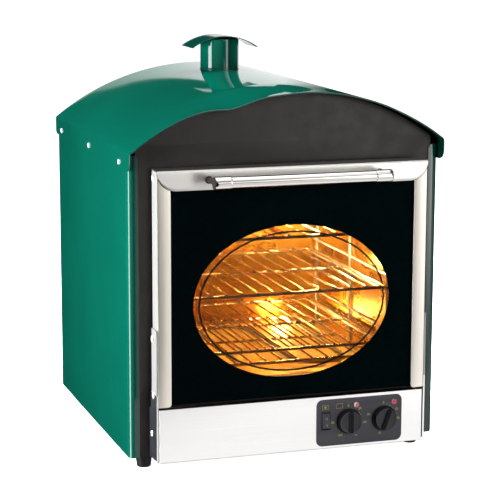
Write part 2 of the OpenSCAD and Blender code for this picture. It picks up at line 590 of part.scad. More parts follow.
side_panel_left();
side_panel_right();
roof_canopy();
roof_screws();
flue_pipe();
flue_cap();
cap_straps();
front_fascia();
back_panel();
back_panel_screws();
base_panel();
cable_gland();
feet();
foot_screws();
oven_floor();
oven_ceiling();
oven_side_left();
oven_side_right();
oven_back();
flue_duct();
insulation();
door_seal();
rack_left();
rack_right();
shelf_upper();
shelf_middle();
shelf_lower();
floor_grid();
element_top();
element_bottom();
lamp_housings();
lamp_lenses();
thermostat_phial();
door_stile_left();
door_stile_right();
door_top_rail();
door_bottom_channel();
door_glass_outer();
door_print();
door_glass_inner();
handle_tube();
handle_sleeves();
handle_brackets();
door_screws();
hinge_bushes();
hinge_plates();
hinge_bolts();
console_front();
console_deck();
label_plate();
thermostat_knob();
timer_knob();
thermostat_shaft();
timer_shaft();
rocker_bezel();
rocker_button();
indicator_lamps();
thermostat_body();
timer_body();
terminal_block();
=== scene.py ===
import math
import random

import bmesh
import bpy
from mathutils import Matrix, Vector

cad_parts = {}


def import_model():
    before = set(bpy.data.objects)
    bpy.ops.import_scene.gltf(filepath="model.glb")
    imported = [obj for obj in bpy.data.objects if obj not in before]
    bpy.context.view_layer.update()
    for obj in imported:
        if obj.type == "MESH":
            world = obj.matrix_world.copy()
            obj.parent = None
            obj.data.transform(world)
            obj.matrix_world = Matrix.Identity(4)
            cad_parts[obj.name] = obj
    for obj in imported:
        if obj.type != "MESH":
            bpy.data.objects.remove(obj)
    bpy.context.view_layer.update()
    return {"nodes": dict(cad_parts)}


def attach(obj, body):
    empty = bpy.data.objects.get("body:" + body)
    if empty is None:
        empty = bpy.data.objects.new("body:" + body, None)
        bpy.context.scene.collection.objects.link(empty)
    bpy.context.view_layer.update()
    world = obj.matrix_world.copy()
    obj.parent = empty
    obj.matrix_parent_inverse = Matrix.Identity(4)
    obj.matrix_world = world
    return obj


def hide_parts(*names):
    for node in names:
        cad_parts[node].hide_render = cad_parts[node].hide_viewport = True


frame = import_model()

nodes = frame["nodes"]
scene = bpy.context.scene

# Design coordinates: millimetres, x to the right, y = 0 at the casing's front flange, z up from the counter.
YM = 177.45
ZB = 18.5


def V(x, y, z):
    return Vector((x / 1000.0, (y - YM) / 1000.0, z / 1000.0))


# ------------------------------------------------------------------ materials
class NT:
    """A small helper to build node trees."""

    def __init__(self, name):
        self.m = bpy.data.materials.new(name)
        self.m.use_nodes = True
        self.t = self.m.node_tree
        self.t.nodes.clear()
        self.out = self.t.nodes.new("ShaderNodeOutputMaterial")
        self.b = self.t.nodes.new("ShaderNodeBsdfPrincipled")
        self.t.links.new(self.b.outputs["BSDF"], self.out.inputs["Surface"])
        self.tc = self.t.nodes.new("ShaderNodeTexCoord")

    def set(self, **kw):
        for k, v in kw.items():
            self.b.inputs[k.replace("_", " ")].default_value = v
        return self

    def n(self, kind, **props):
        node = self.t.nodes.new(kind)
        for k, v in props.items():
            setattr(node, k, v)
        return node

    def link(self, a, b):
        self.t.links.new(a, b)

    def mapped(self, scale=(1, 1, 1), rot=(0, 0, 0)):
        mp = self.n("ShaderNodeMapping")
        mp.inputs["Scale"].default_value = scale
        mp.inputs["Rotation"].default_value = rot
        self.link(self.tc.outputs["Object"], mp.inputs["Vector"])
        return mp.outputs["Vector"]

    def noise(self, scale=(1, 1, 1), s=10.0, detail=3.0, rough=0.5, dist=0.0):
        nz = self.n("ShaderNodeTexNoise")
        nz.inputs["Scale"].default_value = s
        nz.inputs["Detail"].default_value = detail
        nz.inputs["Roughness"].default_value = rough
        nz.inputs["Distortion"].default_value = dist
        self.link(self.mapped(scale), nz.inputs["Vector"])
        return nz.outputs["Fac"]

    def ramp(self, fac, stops):
        r = self.n("ShaderNodeValToRGB")
        el = r.color_ramp.elements
        while len(el) < len(stops):
            el.new(0.5)
        for e, (p, c) in zip(el, stops):
            e.position = p
            e.color = (*c, 1.0) if len(c) == 3 else c
        self.link(fac, r.inputs["Fac"])
        return r.outputs["Color"]

    def rng(self, fac, a, b, lo=0.0, hi=1.0):
        r = self.n("ShaderNodeMapRange")
        r.inputs["From Min"].default_value = a
        r.inputs["From Max"].default_value = b
        r.inputs["To Min"].default_value = lo
        r.inputs["To Max"].default_value = hi
        self.link(fac, r.inputs["Value"])
        return r.outputs["Result"]

    def mix(self, fac, a, b, mode="MIX"):
        m = self.n("ShaderNodeMix", data_type="RGBA", blend_type=mode)
        for sock, v in ((m.inputs[0], fac), (m.inputs[6], a), (m.inputs[7], b)):
            if isinstance(v, (int, float)):
                sock.default_value = v
            elif isinstance(v, tuple):
                sock.default_value = (*v, 1.0)
            else:
                self.link(v, sock)
        return m.outputs[2]

    def math(self, op, a, b=0.0):
        m = self.n("ShaderNodeMath", operation=op)
        for sock, v in ((m.inputs[0], a), (m.inputs[1], b)):
            if isinstance(v, (int, float)):
                sock.default_value = v
            else:
                self.link(v, sock)
        return m.outputs[0]

    def bump(self, height, strength=0.1, distance=0.0005, under=None):
        bp = self.n("ShaderNodeBump")
        bp.inputs["Strength"].default_value = strength
        bp.inputs["Distance"].default_value = distance
        self.link(height, bp.inputs["Height"])
        if under is not None:
            self.link(under, bp.inputs["Normal"])
        self.link(bp.outputs["Normal"], self.b.inputs["Normal"])
        return bp.outputs["Normal"]

    def to(self, sock, value):
        self.link(value, self.b.inputs[sock])
        return self


def enamel(name, base, dark, rough=0.1, coat=0.6):
    """Stove enamel: gloss paint with a faint orange peel and slow drift in tone."""
    t = NT(name)
    t.set(Roughness=rough, IOR=1.5, Coat_Weight=coat, Coat_Roughness=0.04, Coat_IOR=1.5)
    f = t.noise(s=9, detail=4, rough=0.55)
    g = t.noise(s=160, detail=2)
    c = t.mix(t.rng(f, 0.3, 0.7), base, dark)
    c = t.mix(t.rng(g, 0.35, 0.75, 0.0, 0.08), c, (base[0] * 1.4 + 0.002, base[1] * 1.2, base[2] * 1.2))
    t.to("Base Color", c)
    t.to("Roughness", t.rng(t.noise(s=40, detail=5), 0.3, 0.8, rough * 0.8, rough * 1.5))
    peel = t.noise(s=260, detail=2, rough=0.4)
    t.bump(peel, 0.02, 0.0003)
    return t.m


def brushed(name, axis="x", base=(0.80, 0.79, 0.77), rough=0.26, aniso=0.5, streak=0.10, tint=(0.66, 0.64, 0.61), metallic=1.0):
    """Fine brushed stainless steel, its grain along one axis."""
    t = NT(name)
    t.set(Metallic=metallic, Roughness=rough, Anisotropic=aniso)
    long, fine = 6.0, 1400.0
    sc = {"x": (long, fine, fine), "y": (fine, long, fine), "z": (fine, fine, long)}[axis]
    br = {"x": (0.8, 30, 30), "y": (30, 0.8, 30), "z": (30, 30, 0.8)}[axis]
    f = t.noise(scale=sc, s=1.0, detail=4, rough=0.65)
    w = t.noise(scale=br, s=1.0, detail=3)
    sm = t.noise(s=7, detail=3)
    c = t.mix(t.rng(f, 0.3, 0.7, 0, streak * 2), base, tint)
    c = t.mix(t.rng(w, 0.35, 0.75, 0, streak), c, tint)
    c = t.mix(t.rng(sm, 0.45, 0.8, 0, streak * 0.8), c, tint)
    t.to("Base Color", c)
    t.to("Roughness", t.math("ADD", t.rng(f, 0.2, 0.8, rough * 0.75, rough * 1.2), t.rng(sm, 0.3, 0.8, 0.0, 0.06)))
    t.bump(f, 0.06, 0.0002)
    return t.m


def plastic(name, base, rough=0.4, grain=900, strength=0.12, spec=0.5, var=0.25):
    """Moulded plastic with a fine spark-eroded texture."""
    t = NT(name)
    t.set(Roughness=rough, IOR=1.5, Specular_IOR_Level=spec)
    f = t.noise(s=grain, detail=2)
    g = t.noise(s=45, detail=4)
    hi = tuple(min(1, x * (1 + var) + 0.004) for x in base)
    t.to("Base Color", t.mix(t.rng(g, 0.35, 0.75), base, hi))
    t.to("Roughness", t.rng(g, 0.3, 0.75, rough * 0.85, rough * 1.2))
    t.bump(f, strength, 0.0002)
    return t.m


def metal(name, base, rough=0.2, var=0.1, scale=60, bump=0.04, dirt=None, dirt_amount=0.0, metallic=1.0):
    t = NT(name)
    t.set(Metallic=metallic, Roughness=rough)
    f = t.noise(s=scale, detail=4)
    g = t.noise(s=scale * 9, detail=2)
    c = t.mix(t.rng(f, 0.3, 0.7), base, tuple(x * (1 - var) for x in base))
    if dirt is not None:
        c = t.mix(t.rng(t.noise(s=scale * 0.5, detail=5, rough=0.7), 0.45, 0.75, 0, dirt_amount), c, dirt)
    t.to("Base Color", c)
    t.to("Roughness", t.rng(g, 0.3, 0.75, rough * 0.8, rough * 1.3))
    t.bump(g, bump, 0.0002)
    return t.m


def ink(name, base, rough=0.45):
    t = NT(name)
    t.set(Roughness=rough)
    f = t.noise(s=1800, detail=2)
    t.to("Base Color", t.mix(t.rng(f, 0.3, 0.8, 0, 0.35), base, tuple(x * 0.7 for x in base)))
    t.to("Roughness", t.rng(f, 0.3, 0.8, rough * 0.9, rough * 1.2))
    t.bump(f, 0.05, 0.0001)
    return t.m


GREEN = enamel("green_enamel", (0.0009, 0.083, 0.055), (0.0007, 0.072, 0.048), 0.045, 0.3)
# the same green enamel made darker: painted shade for the flue cap
GREEN_CAP_SHADED = enamel("green_enamel_cap_painted_shade", (0.0009, 0.040, 0.029), (0.0007, 0.034, 0.025), 0.08, 0.3)
BLACK = plastic("black_satin_enamel", (0.042, 0.038, 0.034), rough=0.40, grain=1300, strength=0.08, spec=0.32, var=0.10)
STEEL_X = brushed("steel_brushed_x", "x", base=(0.82, 0.80, 0.765), tint=(0.72, 0.69, 0.65), rough=0.31, aniso=0.0, streak=0.05)
STEEL_Z = brushed("steel_brushed_z", "z", base=(0.79, 0.735, 0.66), tint=(0.70, 0.64, 0.57), rough=0.36, aniso=0.0)
STEEL_SIDE = brushed("steel_brushed_side", "z", base=(0.74, 0.74, 0.73), rough=0.5, metallic=0.70)
STEEL_CONSOLE = brushed("steel_console", "x", base=(0.91, 0.905, 0.895), rough=0.3, aniso=0.4, streak=0.06)
STEEL_HANDLE = brushed("steel_handle", "x", base=(0.76, 0.735, 0.70), rough=0.055, aniso=0.0, streak=0.08)
STEEL_PLATE = brushed("steel_hinge", "z", base=(0.52, 0.53, 0.53), rough=0.45, metallic=0.6)
PLATE_DARK = plastic("hinge_plate_dark", (0.016, 0.017, 0.021), rough=0.45, grain=900, strength=0.06)
SCREW = metal("screw_plate", (0.90, 0.90, 0.89), rough=0.30, scale=300, metallic=0.35)
BLACKMETAL = plastic("black_metal", (0.020, 0.017, 0.016), rough=0.38, grain=700, strength=0.06, spec=0.16)
DARK_TRIM = plastic("dark_trim", (0.006, 0.0055, 0.005), rough=0.4, grain=700, strength=0.04, spec=0.08)
RUBBER = plastic("foot_rubber", (0.012, 0.012, 0.013), rough=0.62, grain=1500, strength=0.25)
KNOB = plastic("knob_plastic", (0.060, 0.057, 0.065), rough=0.36, grain=1500, strength=0.08, spec=0.28)
# a darker copy of the knob plastic: painted shade for the skirt, the side wall and the grip's crest and left flank
KNOB_SHADED = plastic("knob_plastic_painted_shade", (0.0085, 0.0080, 0.0095), rough=0.34, grain=1500, strength=0.08, spec=0.10)
SWITCH = plastic("switch_plastic", (0.012, 0.011, 0.013), rough=0.32, grain=1500, strength=0.08)
LABEL = plastic("label_film", (0.122, 0.121, 0.142), rough=0.42, grain=2500, strength=0.05, var=0.12, spec=0.3)
# painted shadow: the dark brown of the tube that stands in for the shade in the rail's seam gap
SEAM_SHADOW = plastic("seam_painted_shadow", (0.050, 0.034, 0.026), rough=0.5, grain=900, strength=0.05, spec=0.15)
ROCKER = plastic("rocker_plastic", (0.075, 0.073, 0.082), rough=0.4, grain=1500, strength=0.06, spec=0.35)
SEAL = plastic("silicone_seal", (0.16, 0.035, 0.022), rough=0.55, grain=700, strength=0.2)
CASE = plastic("control_case", (0.05, 0.055, 0.065), rough=0.45)
CREAM = plastic("terminal_cream", (0.74, 0.72, 0.62), rough=0.4)
GALV = metal("galvanised", (0.60, 0.615, 0.62), rough=0.36, var=0.25, scale=55, bump=0.03)
COPPER = metal("copper_tube", (0.62, 0.33, 0.19), rough=0.25, var=0.25, scale=90)
SHAFT = metal("shaft_steel", (0.62, 0.62, 0.61), rough=0.28, scale=400)
ALU = metal("lamp_aluminium", (0.78, 0.78, 0.77), rough=0.35, scale=150)
WIRE = metal("chromed_wire", (0.94, 0.90, 0.82), rough=0.20, var=0.10, scale=140, dirt=(0.45, 0.25, 0.10), dirt_amount=0.2, metallic=0.55)
# a browner, darker copy of the chromed wire for the shelves: partly heat patina and partly painted shade for rods the
# lamps leave unlit
WIRE_SHELF = metal("shelf_wire", (0.58, 0.44, 0.30), rough=0.18, var=0.2, scale=140, dirt=(0.16, 0.07, 0.03), dirt_amount=0.45, metallic=0.8)
ELEMENT = metal("element_sheath", (0.23, 0.17, 0.13), rough=0.45, var=0.35, scale=120, bump=0.12)


def lining(name, base, soil, rough, metallic):
    """Steel lining, browned by heat in soft clouds, with a light film of grease."""
    t = NT(name)
    t.set(Metallic=metallic, Roughness=rough)
    f = t.noise(s=9, detail=2, rough=0.4)
    g = t.noise(s=420, detail=2)
    c = t.mix(t.rng(f, 0.35, 0.70, 0, 0.7), base, soil)
    c = t.mix(t.rng(g, 0.45, 0.8, 0, 0.15), c, soil)
    t.to("Base Color", c)
    t.to("Roughness", t.rng(t.noise(s=16, detail=2), 0.3, 0.75, rough * 0.9, rough * 1.3))
    t.bump(g, 0.03, 0.0002)
    return t.m


LINING = lining("oven_lining", (0.72, 0.40, 0.060), (0.34, 0.065, 0.010), 0.25, 0.85)
LINING_FLOOR = lining("oven_floor_steel", (0.80, 0.54, 0.12), (0.50, 0.18, 0.03), 0.42, 0.85)
YELLOW = ink("ink_yellow", (0.74, 0.69, 0.13))
RED = ink("ink_red", (0.20, 0.035, 0.040))
WHITE = ink("ink_white", (0.55, 0.55, 0.58))


def wool_material():
    t = NT("mineral_wool")
    t.set(Roughness=0.95)
    f = t.noise(scale=(1, 6, 1), s=300, detail=6, rough=0.7)
    t.to("Base Color", t.ramp(f, [(0.25, (0.42, 0.34, 0.18)), (0.75, (0.80, 0.72, 0.50))]))
    t.bump(f, 0.8, 0.002)
    return t.m


WOOL = wool_material()


def glass_material(name, tint, alpha, rough=0.02, spec=0.12):
    t = NT(name)
    t.set(Roughness=rough, IOR=1.5, Alpha=alpha, Specular_IOR_Level=spec)
    f = t.noise(s=30, detail=4)
    t.to("Base Color", t.mix(t.rng(f, 0.3, 0.7), tint, tuple(x * 1.6 + 0.004 for x in tint)))
    t.to("Roughness", t.rng(f, 0.3, 0.8, rough, rough * 2.5))
    return t.m


GLASS = glass_material("door_glass", (0.001, 0.004, 0.004), 0.10, spec=0.0)
GLASS_IN = glass_material("door_glass_inner", (0.008, 0.003, 0.001), 0.32)


def print_material():
    t = NT("fired_black_print")
    t.set(Roughness=0.5, Specular_IOR_Level=0.0)
    f = t.noise(s=220, detail=3)
    t.to("Base Color", t.mix(t.rng(f, 0.3, 0.7), (0.0032, 0.0140, 0.0165), (0.0042, 0.0165, 0.0195)))
    t.to("Roughness", t.rng(f, 0.3, 0.8, 0.4, 0.6))
    t.bump(f, 0.005, 0.0001)
    return t.m


PRINT = print_material()


def lamp_material(name, base, glow, strength):
    t = NT(name)
    t.set(Roughness=0.14, IOR=1.5, Coat_Weight=0.5, Emission_Strength=strength)
    f = t.noise(s=900, detail=2)
    t.to("Base Color", t.mix(t.rng(f, 0.3, 0.7), base, tuple(min(1, x * 1.2) for x in base)))
    t.b.inputs["Emission Color"].default_value = (*glow, 1)
    t.bump(f, 0.05, 0.0002)
    return t.m


OVENLAMP = lamp_material("oven_lamp_glass", (1.0, 0.72, 0.38), (1.0, 0.62, 0.24), 14.0)
LAMP_PINK = lamp_material("lamp_pink", (0.80, 0.38, 0.42), (0.9, 0.28, 0.33), 0.28)
LAMP_RED = lamp_material("lamp_red", (0.80, 0.08, 0.16), (0.9, 0.03, 0.10), 0.25)
LAMP_SLOT = lamp_material("lamp_slot", (0.35, 0.01, 0.02), (0.6, 0.0, 0.02), 0.08)
LAMP_RIM = ink("lamp_rim", (0.72, 0.58, 0.58), 0.3)


# ------------------------------------------------------------------ mesh helpers
class Mesh:
    """Vertices in design millimetres, faces as index tuples."""

    def __init__(self):
        self.v, self.f = [], []

    def add(self, verts, faces):
        o = len(self.v)
        self.v += [tuple(p) for p in verts]
        self.f += [tuple(i + o for i in f) for f in faces]

    def grid(self, rows, close_u=False, close_v=False, flip=False):
        """rows: a list of equally long lists of points."""
        m, n = len(rows), len(rows[0])
        faces = []
        for i in range(m if close_u else m - 1):
            for j in range(n if close_v else n - 1):
                a, b = i * n + j, i * n + (j + 1) % n
                c, d = ((i + 1) % m) * n + (j + 1) % n, ((i + 1) % m) * n + j
                faces.append((a, b, c, d) if not flip else (d, c, b, a))
        self.add([p for r in rows for p in r], faces)

    def lathe(self, prof, origin, axis, n=64, up=None):
        """prof: (radius, height) pairs along axis from origin, in order from one end to the other."""
        ax = Vector(axis).normalized()
        u = Vector(up).normalized() if up else ax.orthogonal().normalized()
        w = ax.cross(u)
        o = Vector(origin)
        rows, caps = [], []
        for r, h in prof:
            rows.append([o + ax * h + (u * math.cos(2 * math.pi * k / n) + w * math.sin(2 * math.pi * k / n)) * max(r, 1e-4) for k in range(n)])
        self.grid(rows, close_v=True)
        return self


def build(name, mesh, mat, body, stands=(), sharp=35, bevel=0.0, seg=2, sub=0, mats=None, face_mat=None):
    me = bpy.data.meshes.new(name)
    me.from_pydata([V(*p) for p in mesh.v], [], mesh.f)
    me.update()
    bm = bmesh.new()
    bm.from_mesh(me)
    bmesh.ops.remove_doubles(bm, verts=bm.verts, dist=2e-6)
    bmesh.ops.recalc_face_normals(bm, faces=bm.faces)
    bm.to_mesh(me)
    bm.free()
    for m in mats or [mat]:
        me.materials.append(m)
    if face_mat:
        for p in me.polygons:
            p.material_index = face_mat(p)
    o = bpy.data.objects.new(name, me)
    scene.collection.objects.link(o)
    for p in me.polygons:
        p.use_smooth = True
    if bevel:
        b = o.modifiers.new("edge", "BEVEL")
        b.width = bevel / 1000.0
        b.segments = seg
        b.limit_method = "ANGLE"
        b.angle_limit = math.radians(sharp)
        b.harden_normals = True
        b.use_clamp_overlap = True
    else:
        me.set_sharp_from_angle(angle=math.radians(sharp))
    if sub:
        s = o.modifiers.new("smooth", "SUBSURF")
        s.levels = s.render_levels = sub
    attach(o, body)
    if stands:
        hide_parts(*stands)
    return o


def arc(cx, cy, r, a0, a1, n):
    return [(cx + r * math.cos(math.radians(a0 + (a1 - a0) * i / n)), cy + r * math.sin(math.radians(a0 + (a1 - a0) * i / n))) for i in range(n + 1)]


def rrect(x0, z0, x1, z1, r, n=10):
    return arc(x1 - r, z1 - r, r, 0, 90, n) + arc(x0 + r, z1 - r, r, 90, 180, n) + arc(x0 + r, z0 + r, r, 180, 270, n) + arc(x1 - r, z0 + r, r, 270, 360, n)


def circle(cx, cz, r, n=48):
    return [(cx + r * math.cos(2 * math.pi * i / n), cz + r * math.sin(2 * math.pi * i / n)) for i in range(n)]


def outline_mesh(loops, lo, hi, bevel, to3, name, mat, body, stands=(), res=2):
    """A flat plate from 2D loops (the first is the outside), with rounded edges. to3 maps (u, v, w) to design mm."""
    cu = bpy.data.curves.new(name, "CURVE")
    cu.dimensions = "2D"
    cu.fill_mode = "BOTH"
    depth = hi - lo
    bevel = min(bevel, depth * 0.49)
    cu.extrude = (depth / 2 - bevel) / 1000.0
    cu.bevel_depth = bevel / 1000.0
    cu.bevel_resolution = res
    cu.offset = -bevel / 1000.0
    for lp in loops:
        sp = cu.splines.new("POLY")
        sp.points.add(len(lp) - 1)
        for p, (a, b) in zip(sp.points, lp):
            p.co = (a / 1000.0, b / 1000.0, 0, 1)
        sp.use_cyclic_u = True
    ob = bpy.data.objects.new(name + "_c", cu)
    scene.collection.objects.link(ob)
    dg = bpy.context.evaluated_depsgraph_get()
    me = bpy.data.meshes.new_from_object(ob.evaluated_get(dg))
    bpy.data.objects.remove(ob)
    bpy.data.curves.remove(cu)
    mid = (lo + hi) / 2
    for v in me.vertices:
        v.co = V(*to3(v.co.x * 1000, v.co.y * 1000, mid + v.co.z * 1000))
    bm = bmesh.new()
    bm.from_mesh(me)
    bmesh.ops.remove_doubles(bm, verts=bm.verts, dist=2e-6)
    bmesh.ops.dissolve_degenerate(bm, edges=bm.edges, dist=2e-6)
    bmesh.ops.recalc_face_normals(bm, faces=bm.faces)
    bm.to_mesh(me)
    bm.free()
    me.name = name
    me.materials.clear()
    me.materials.append(mat)
    for p in me.polygons:
        p.use_smooth = True
    me.set_sharp_from_angle(angle=math.radians(50))
    o = bpy.data.objects.new(name, me)
    scene.collection.objects.link(o)
    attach(o, body)
    if stands:
        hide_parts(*stands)
    return o


XZ = lambda u, v, w: (u, w, v)          # outline in x and z, thickness along y
YZ = lambda u, v, w: (w, u, v)          # outline in y and z, thickness along x
XY = lambda u, v, w: (u, v, w)


def dress(node, mat, bevel=0.0, sharp=35, seg=2):
    """A CAD node that stays: its material, smooth shading and a small edge radius."""
    o = nodes[node]
    me = o.data
    for a in ("custom_normal",):
        if a in me.attributes:
            me.attributes.remove(me.attributes[a])
    for p in me.polygons:
        p.use_smooth = True
    me.materials.clear()
    me.materials.append(mat)
    for p in me.polygons:
        p.material_index = 0
    w = o.modifiers.new("weld", "WELD")
    w.merge_threshold = 1e-6
    if bevel:
        d = o.modifiers.new("flat", "DECIMATE")
        d.decimate_type = "DISSOLVE"
        d.angle_limit = math.radians(0.5)
        b = o.modifiers.new("edge", "BEVEL")
        b.width = bevel / 1000.0
        b.segments = seg
        b.limit_method = "ANGLE"
        b.angle_limit = math.radians(sharp)
        b.harden_normals = True
    es = o.modifiers.new("split", "EDGE_SPLIT")
    es.split_angle = math.radians(sharp)
    es.use_edge_sharp = False
    return o


# ------------------------------------------------------------------ roof
RW, EAVE, RISE, RB, RT = 226.5, 442.0, 79.0, 5.0, 1.5
RR = (RW * RW + RISE * RISE) / (2 * RISE)
RZC = EAVE + RISE - RR
Z5 = RZC + math.sqrt((RR - RB) ** 2 - (RW - RB) ** 2)
Y0R, Y1R, LIPZ = -18.5, 434.0, 416.0


def roof_section():
    """(x, z, nx, nz) along the outer skin from the left lip's bottom to the right one's."""
    right = []
    for i in range(9):
        z = LIPZ + (Z5 - LIPZ) * i / 8
        right.append((RW, z, 1.0, 0.0))
    cx = RW - RB
    a_end = math.atan2(Z5 - RZC, cx)
    for i in range(1, 9):
        a = a_end * i / 8
        right.append((cx + RB * math.cos(a), Z5 + RB * math.sin(a), math.cos(a), math.sin(a)))
    nseg = 72
    for i in range(1, nseg + 1):
        a = a_end + (math.pi / 2 - a_end) * i / nseg
        right.append((RR * math.cos(a), RZC + RR * math.sin(a), math.cos(a), math.sin(a)))
    left = [(-x, z, -nx, nz) for x, z, nx, nz in right]
    return left[:-1] + [right[-1]] + right[:-1][::-1]


# the front edge's bumps: x and millimetres down
EDGE = [(-226.5, 0.0), (-190, 0.3), (-165, 0.7), (-150, 1.6), (-135, 3.0), (-120, 5.0), (-107, 8.0), (-98, 10.6), (-90, 12.8),
        (-82, 13.6), (-74, 13.2), (-65, 12.3), (-56, 10.7), (-48, 9.2), (-39, 8.1), (-31, 7.5), (-22, 7.0), (-12, 6.5), (0, 5.7),
        (10, 5.0), (20, 4.1), (30, 3.2), (40, 2.6), (50, 2.1), (62, 1.3), (75, 0.9), (90, 0.4), (105, 0.0), (120, -0.5), (140, -1.0),
        (160, -1.1), (175, -1.4), (190, -1.9), (207, -2.4), (226.5, -2.7)]


def roof_wave(x, y):
    """How far the skin hangs below the true arch, in mm: a knocked front overhang and a slight lean of the whole sheet."""
    x = max(-226.5, min(226.5, x))
    for (x0, v0), (x1, v1) in zip(EDGE, EDGE[1:]):
        if x <= x1:
            v = v0 + (v1 - v0) * (x - x0) / (x1 - x0)
            break
    k = max(0.0, min(1.0, (62.0 - y) / 80.5))
    return v * k * k * (3 - 2 * k) - 0.9 * x / 226.5


def make_roof():
    sec = roof_section()
    h = 1.2
    # closed profile across the sheet: (y, depth below the outer skin)
    prof = []
    ys = [Y1R - h + 0.0]
    out = [(Y1R - h, 0.0)]
    for i in range(1, 40):
        out.append((Y1R - h + (Y0R + h - (Y1R - h)) * i / 40.0, 0.0))
    extra = [-16.0 + 0.0, -13.5, -11.0, -8.0, -5.0, -2.0, 0.5]
    yy = sorted({round(p[0], 3) for p in out} | set(extra), reverse=True)
    outer = [(y, 0.0) for y in yy if y > Y0R + h] + [(Y0R + h, 0.0)]
    front = [(Y0R + h - h * math.sin(math.radians(a)), h - h * math.cos(math.radians(a))) for a in range(15, 181, 15)]
    back_in = [(Y0R + h + 1.0, 2 * h - 0.1), (Y0R + h + 1.4, RT + 0.45), (Y0R + h + 1.9, RT)]
    inner = [(y, RT) for y in yy[::-1] if Y0R + h + 2.4 < y < Y1R - h - 2.4]
    rear_in = [(Y1R - h - 1.9, RT), (Y1R - h - 1.4, RT + 0.45), (Y1R - h - 1.0, 2 * h - 0.1)]
    rear = [(Y1R - h + h * math.sin(math.radians(a)), h - h * math.cos(math.radians(a))) for a in range(180, 0, -15)]
    prof = outer + front + back_in + inner + rear_in + rear
    m = Mesh()
    rows = []
    rf, rr = 15.0, 7.0

    def inset(z, r):
        dz = max(0.0, LIPZ + r - z)
        return r - math.sqrt(max(0.0, r * r - dz * dz))

    for (x, z, nx, nz) in sec:
        row = []
        for (y, d) in prof:
            # the hem fades out down the lips
            lip = max(0.0, min(1.0, (z - (Z5 - 2)) / 6.0)) if abs(nx) > 0.999 or z < Z5 + 4 else 1.0
            dd = d if d <= RT else RT + (d - RT) * lip
            yy2 = y
            if z < LIPZ + rf:
                # rounded lower corners of the lip
                a0, a1 = Y0R + inset(z, rf), Y1R - inset(z, rr)
                yy2 = a0 + (y - Y0R) * (a1 - a0) / (Y1R - Y0R)
            zz = z - nz * dd
            row.append((x - nx * dd, yy2, zz - roof_wave(x, yy2) * max(0.0, min(1.0, nz / 0.7))))
        rows.append(row)
    m.grid(rows, close_v=True)
    n = len(prof)
    # close the two lip ends
    m.f.append(tuple(range(n)))
    base = (len(rows) - 1) * n
    m.f.append(tuple(base + i for i in range(n))[::-1])
    return build("roof_canopy_skin", m, GREEN, "cabinet", ["roof_canopy"], sharp=60)


make_roof()


# ------------------------------------------------------------------ side panels with rounded front edges
def make_side(sign, name):
    t, r = 1.2, 9.0
    zt, zf = EAVE - 3.6, ZB + 418
    # section in (x, y), outer skin from the flange's inner edge round the bend to the rear flange
    outer = [(210.0, 0.0), (213.0, 0.0)] + [(216 + r * math.sin(math.radians(a)), r - r * math.cos(math.radians(a))) for a in range(0, 91, 6)] + [(225.0, 9 + (414.0 - 9) * i / 14.0) for i in range(1, 15)]
    ri = r - t
    inner = [(223.8, 9 + (414.0 - 9) * i / 14.0) for i in range(14, 0, -1)] + [(216 + ri * math.sin(math.radians(a)), r - ri * math.cos(math.radians(a))) for a in range(90, -1, -6)] + [(213.0, t), (210.0, t)]
    outer += [(225.0, 418.0), (225.0, 420.0)]
    inner = [(223.8, 420.0), (223.8, 418.0)] + inner
    loop = outer + inner
    m = Mesh()
    rows = []
    levels = [0.0, 1.0] + [k / 24.0 for k in range(1, 24)]
    for u in sorted(set(levels)):
        row = []
        for (x, y) in loop:
            top = zt if y > 9.0 else zf
            if x < 216:
                d = min(5.5, 216 - x)
                top = zf - (5.5 - math.sqrt(max(0.0, 5.5 ** 2 - d * d)))
            row.append((sign * x, y, ZB + (top - ZB) * u))
        rows.append(row)
    m.grid(rows, close_v=True, flip=sign < 0)
    n = len(loop)
    k = len(outer)
    # strips that close the bottom and the top between outer and inner skins
    for base, fl in ((0, False), ((len(rows) - 1) * n, True)):
        for i in range(k - 1):
            j = n - 1 - i
            m.f.append((base + i, base + i + 1, base + j - 1, base + j))
    # rear flange
    m2 = Mesh()
    o = build(name, m, GREEN, "cabinet", [], sharp=50)
    fl = [(sign * 225.0, ZB + 2), (sign * 210.0, ZB + 2), (sign * 210.0, zt - 14), (sign * 225.0, zt - 14)]
    f = outline_mesh([fl], 416.2, 417.4, 0.3, XZ, name + "_rear_flange", GREEN, "cabinet", [])
    return o


o = make_side(1, "side_panel_right_skin"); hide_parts("side_panel_right")
o = make_side(-1, "side_panel_left_skin"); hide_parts("side_panel_left")


# ------------------------------------------------------------------ screws
def pan_head(m, origin, axis, up, d, h, cross=True, turn=0.0):
    """A domed pan head with a cross recess, in mm."""
    ax, u = Vector(axis).normalized(), Vector(up).normalized()
    w = ax.cross(u)
    c, s = math.cos(turn), math.sin(turn)
    u, w = u * c + w * s, w * c - u * s
    o = Vector(origin)
    R = d / 2
    rings, n = 12, 48
    rows = []
    for i in range(rings + 1):
        r = R * math.sin(math.pi / 2 * i / rings)
        row = []
        for k in range(n):
            a = 2 * math.pi * k / n
            x, y = r * math.cos(a), r * math.sin(a)
            z = h * math.cos(math.pi / 2 * (i / rings) ** 1.6) ** 0.55 if i < rings else 0.0
            if cross:
                arm = max(0.0, 1 - max(abs(x) / (R * 0.55), abs(y) / (R * 0.13))) + max(0.0, 1 - max(abs(y) / (R * 0.55), abs(x) / (R * 0.13)))
                z -= min(1.0, arm * 2.2) * h * 0.55
            row.append(o + u * x + w * y + ax * z)
        rows.append(row)
    m.grid(rows, close_v=True)


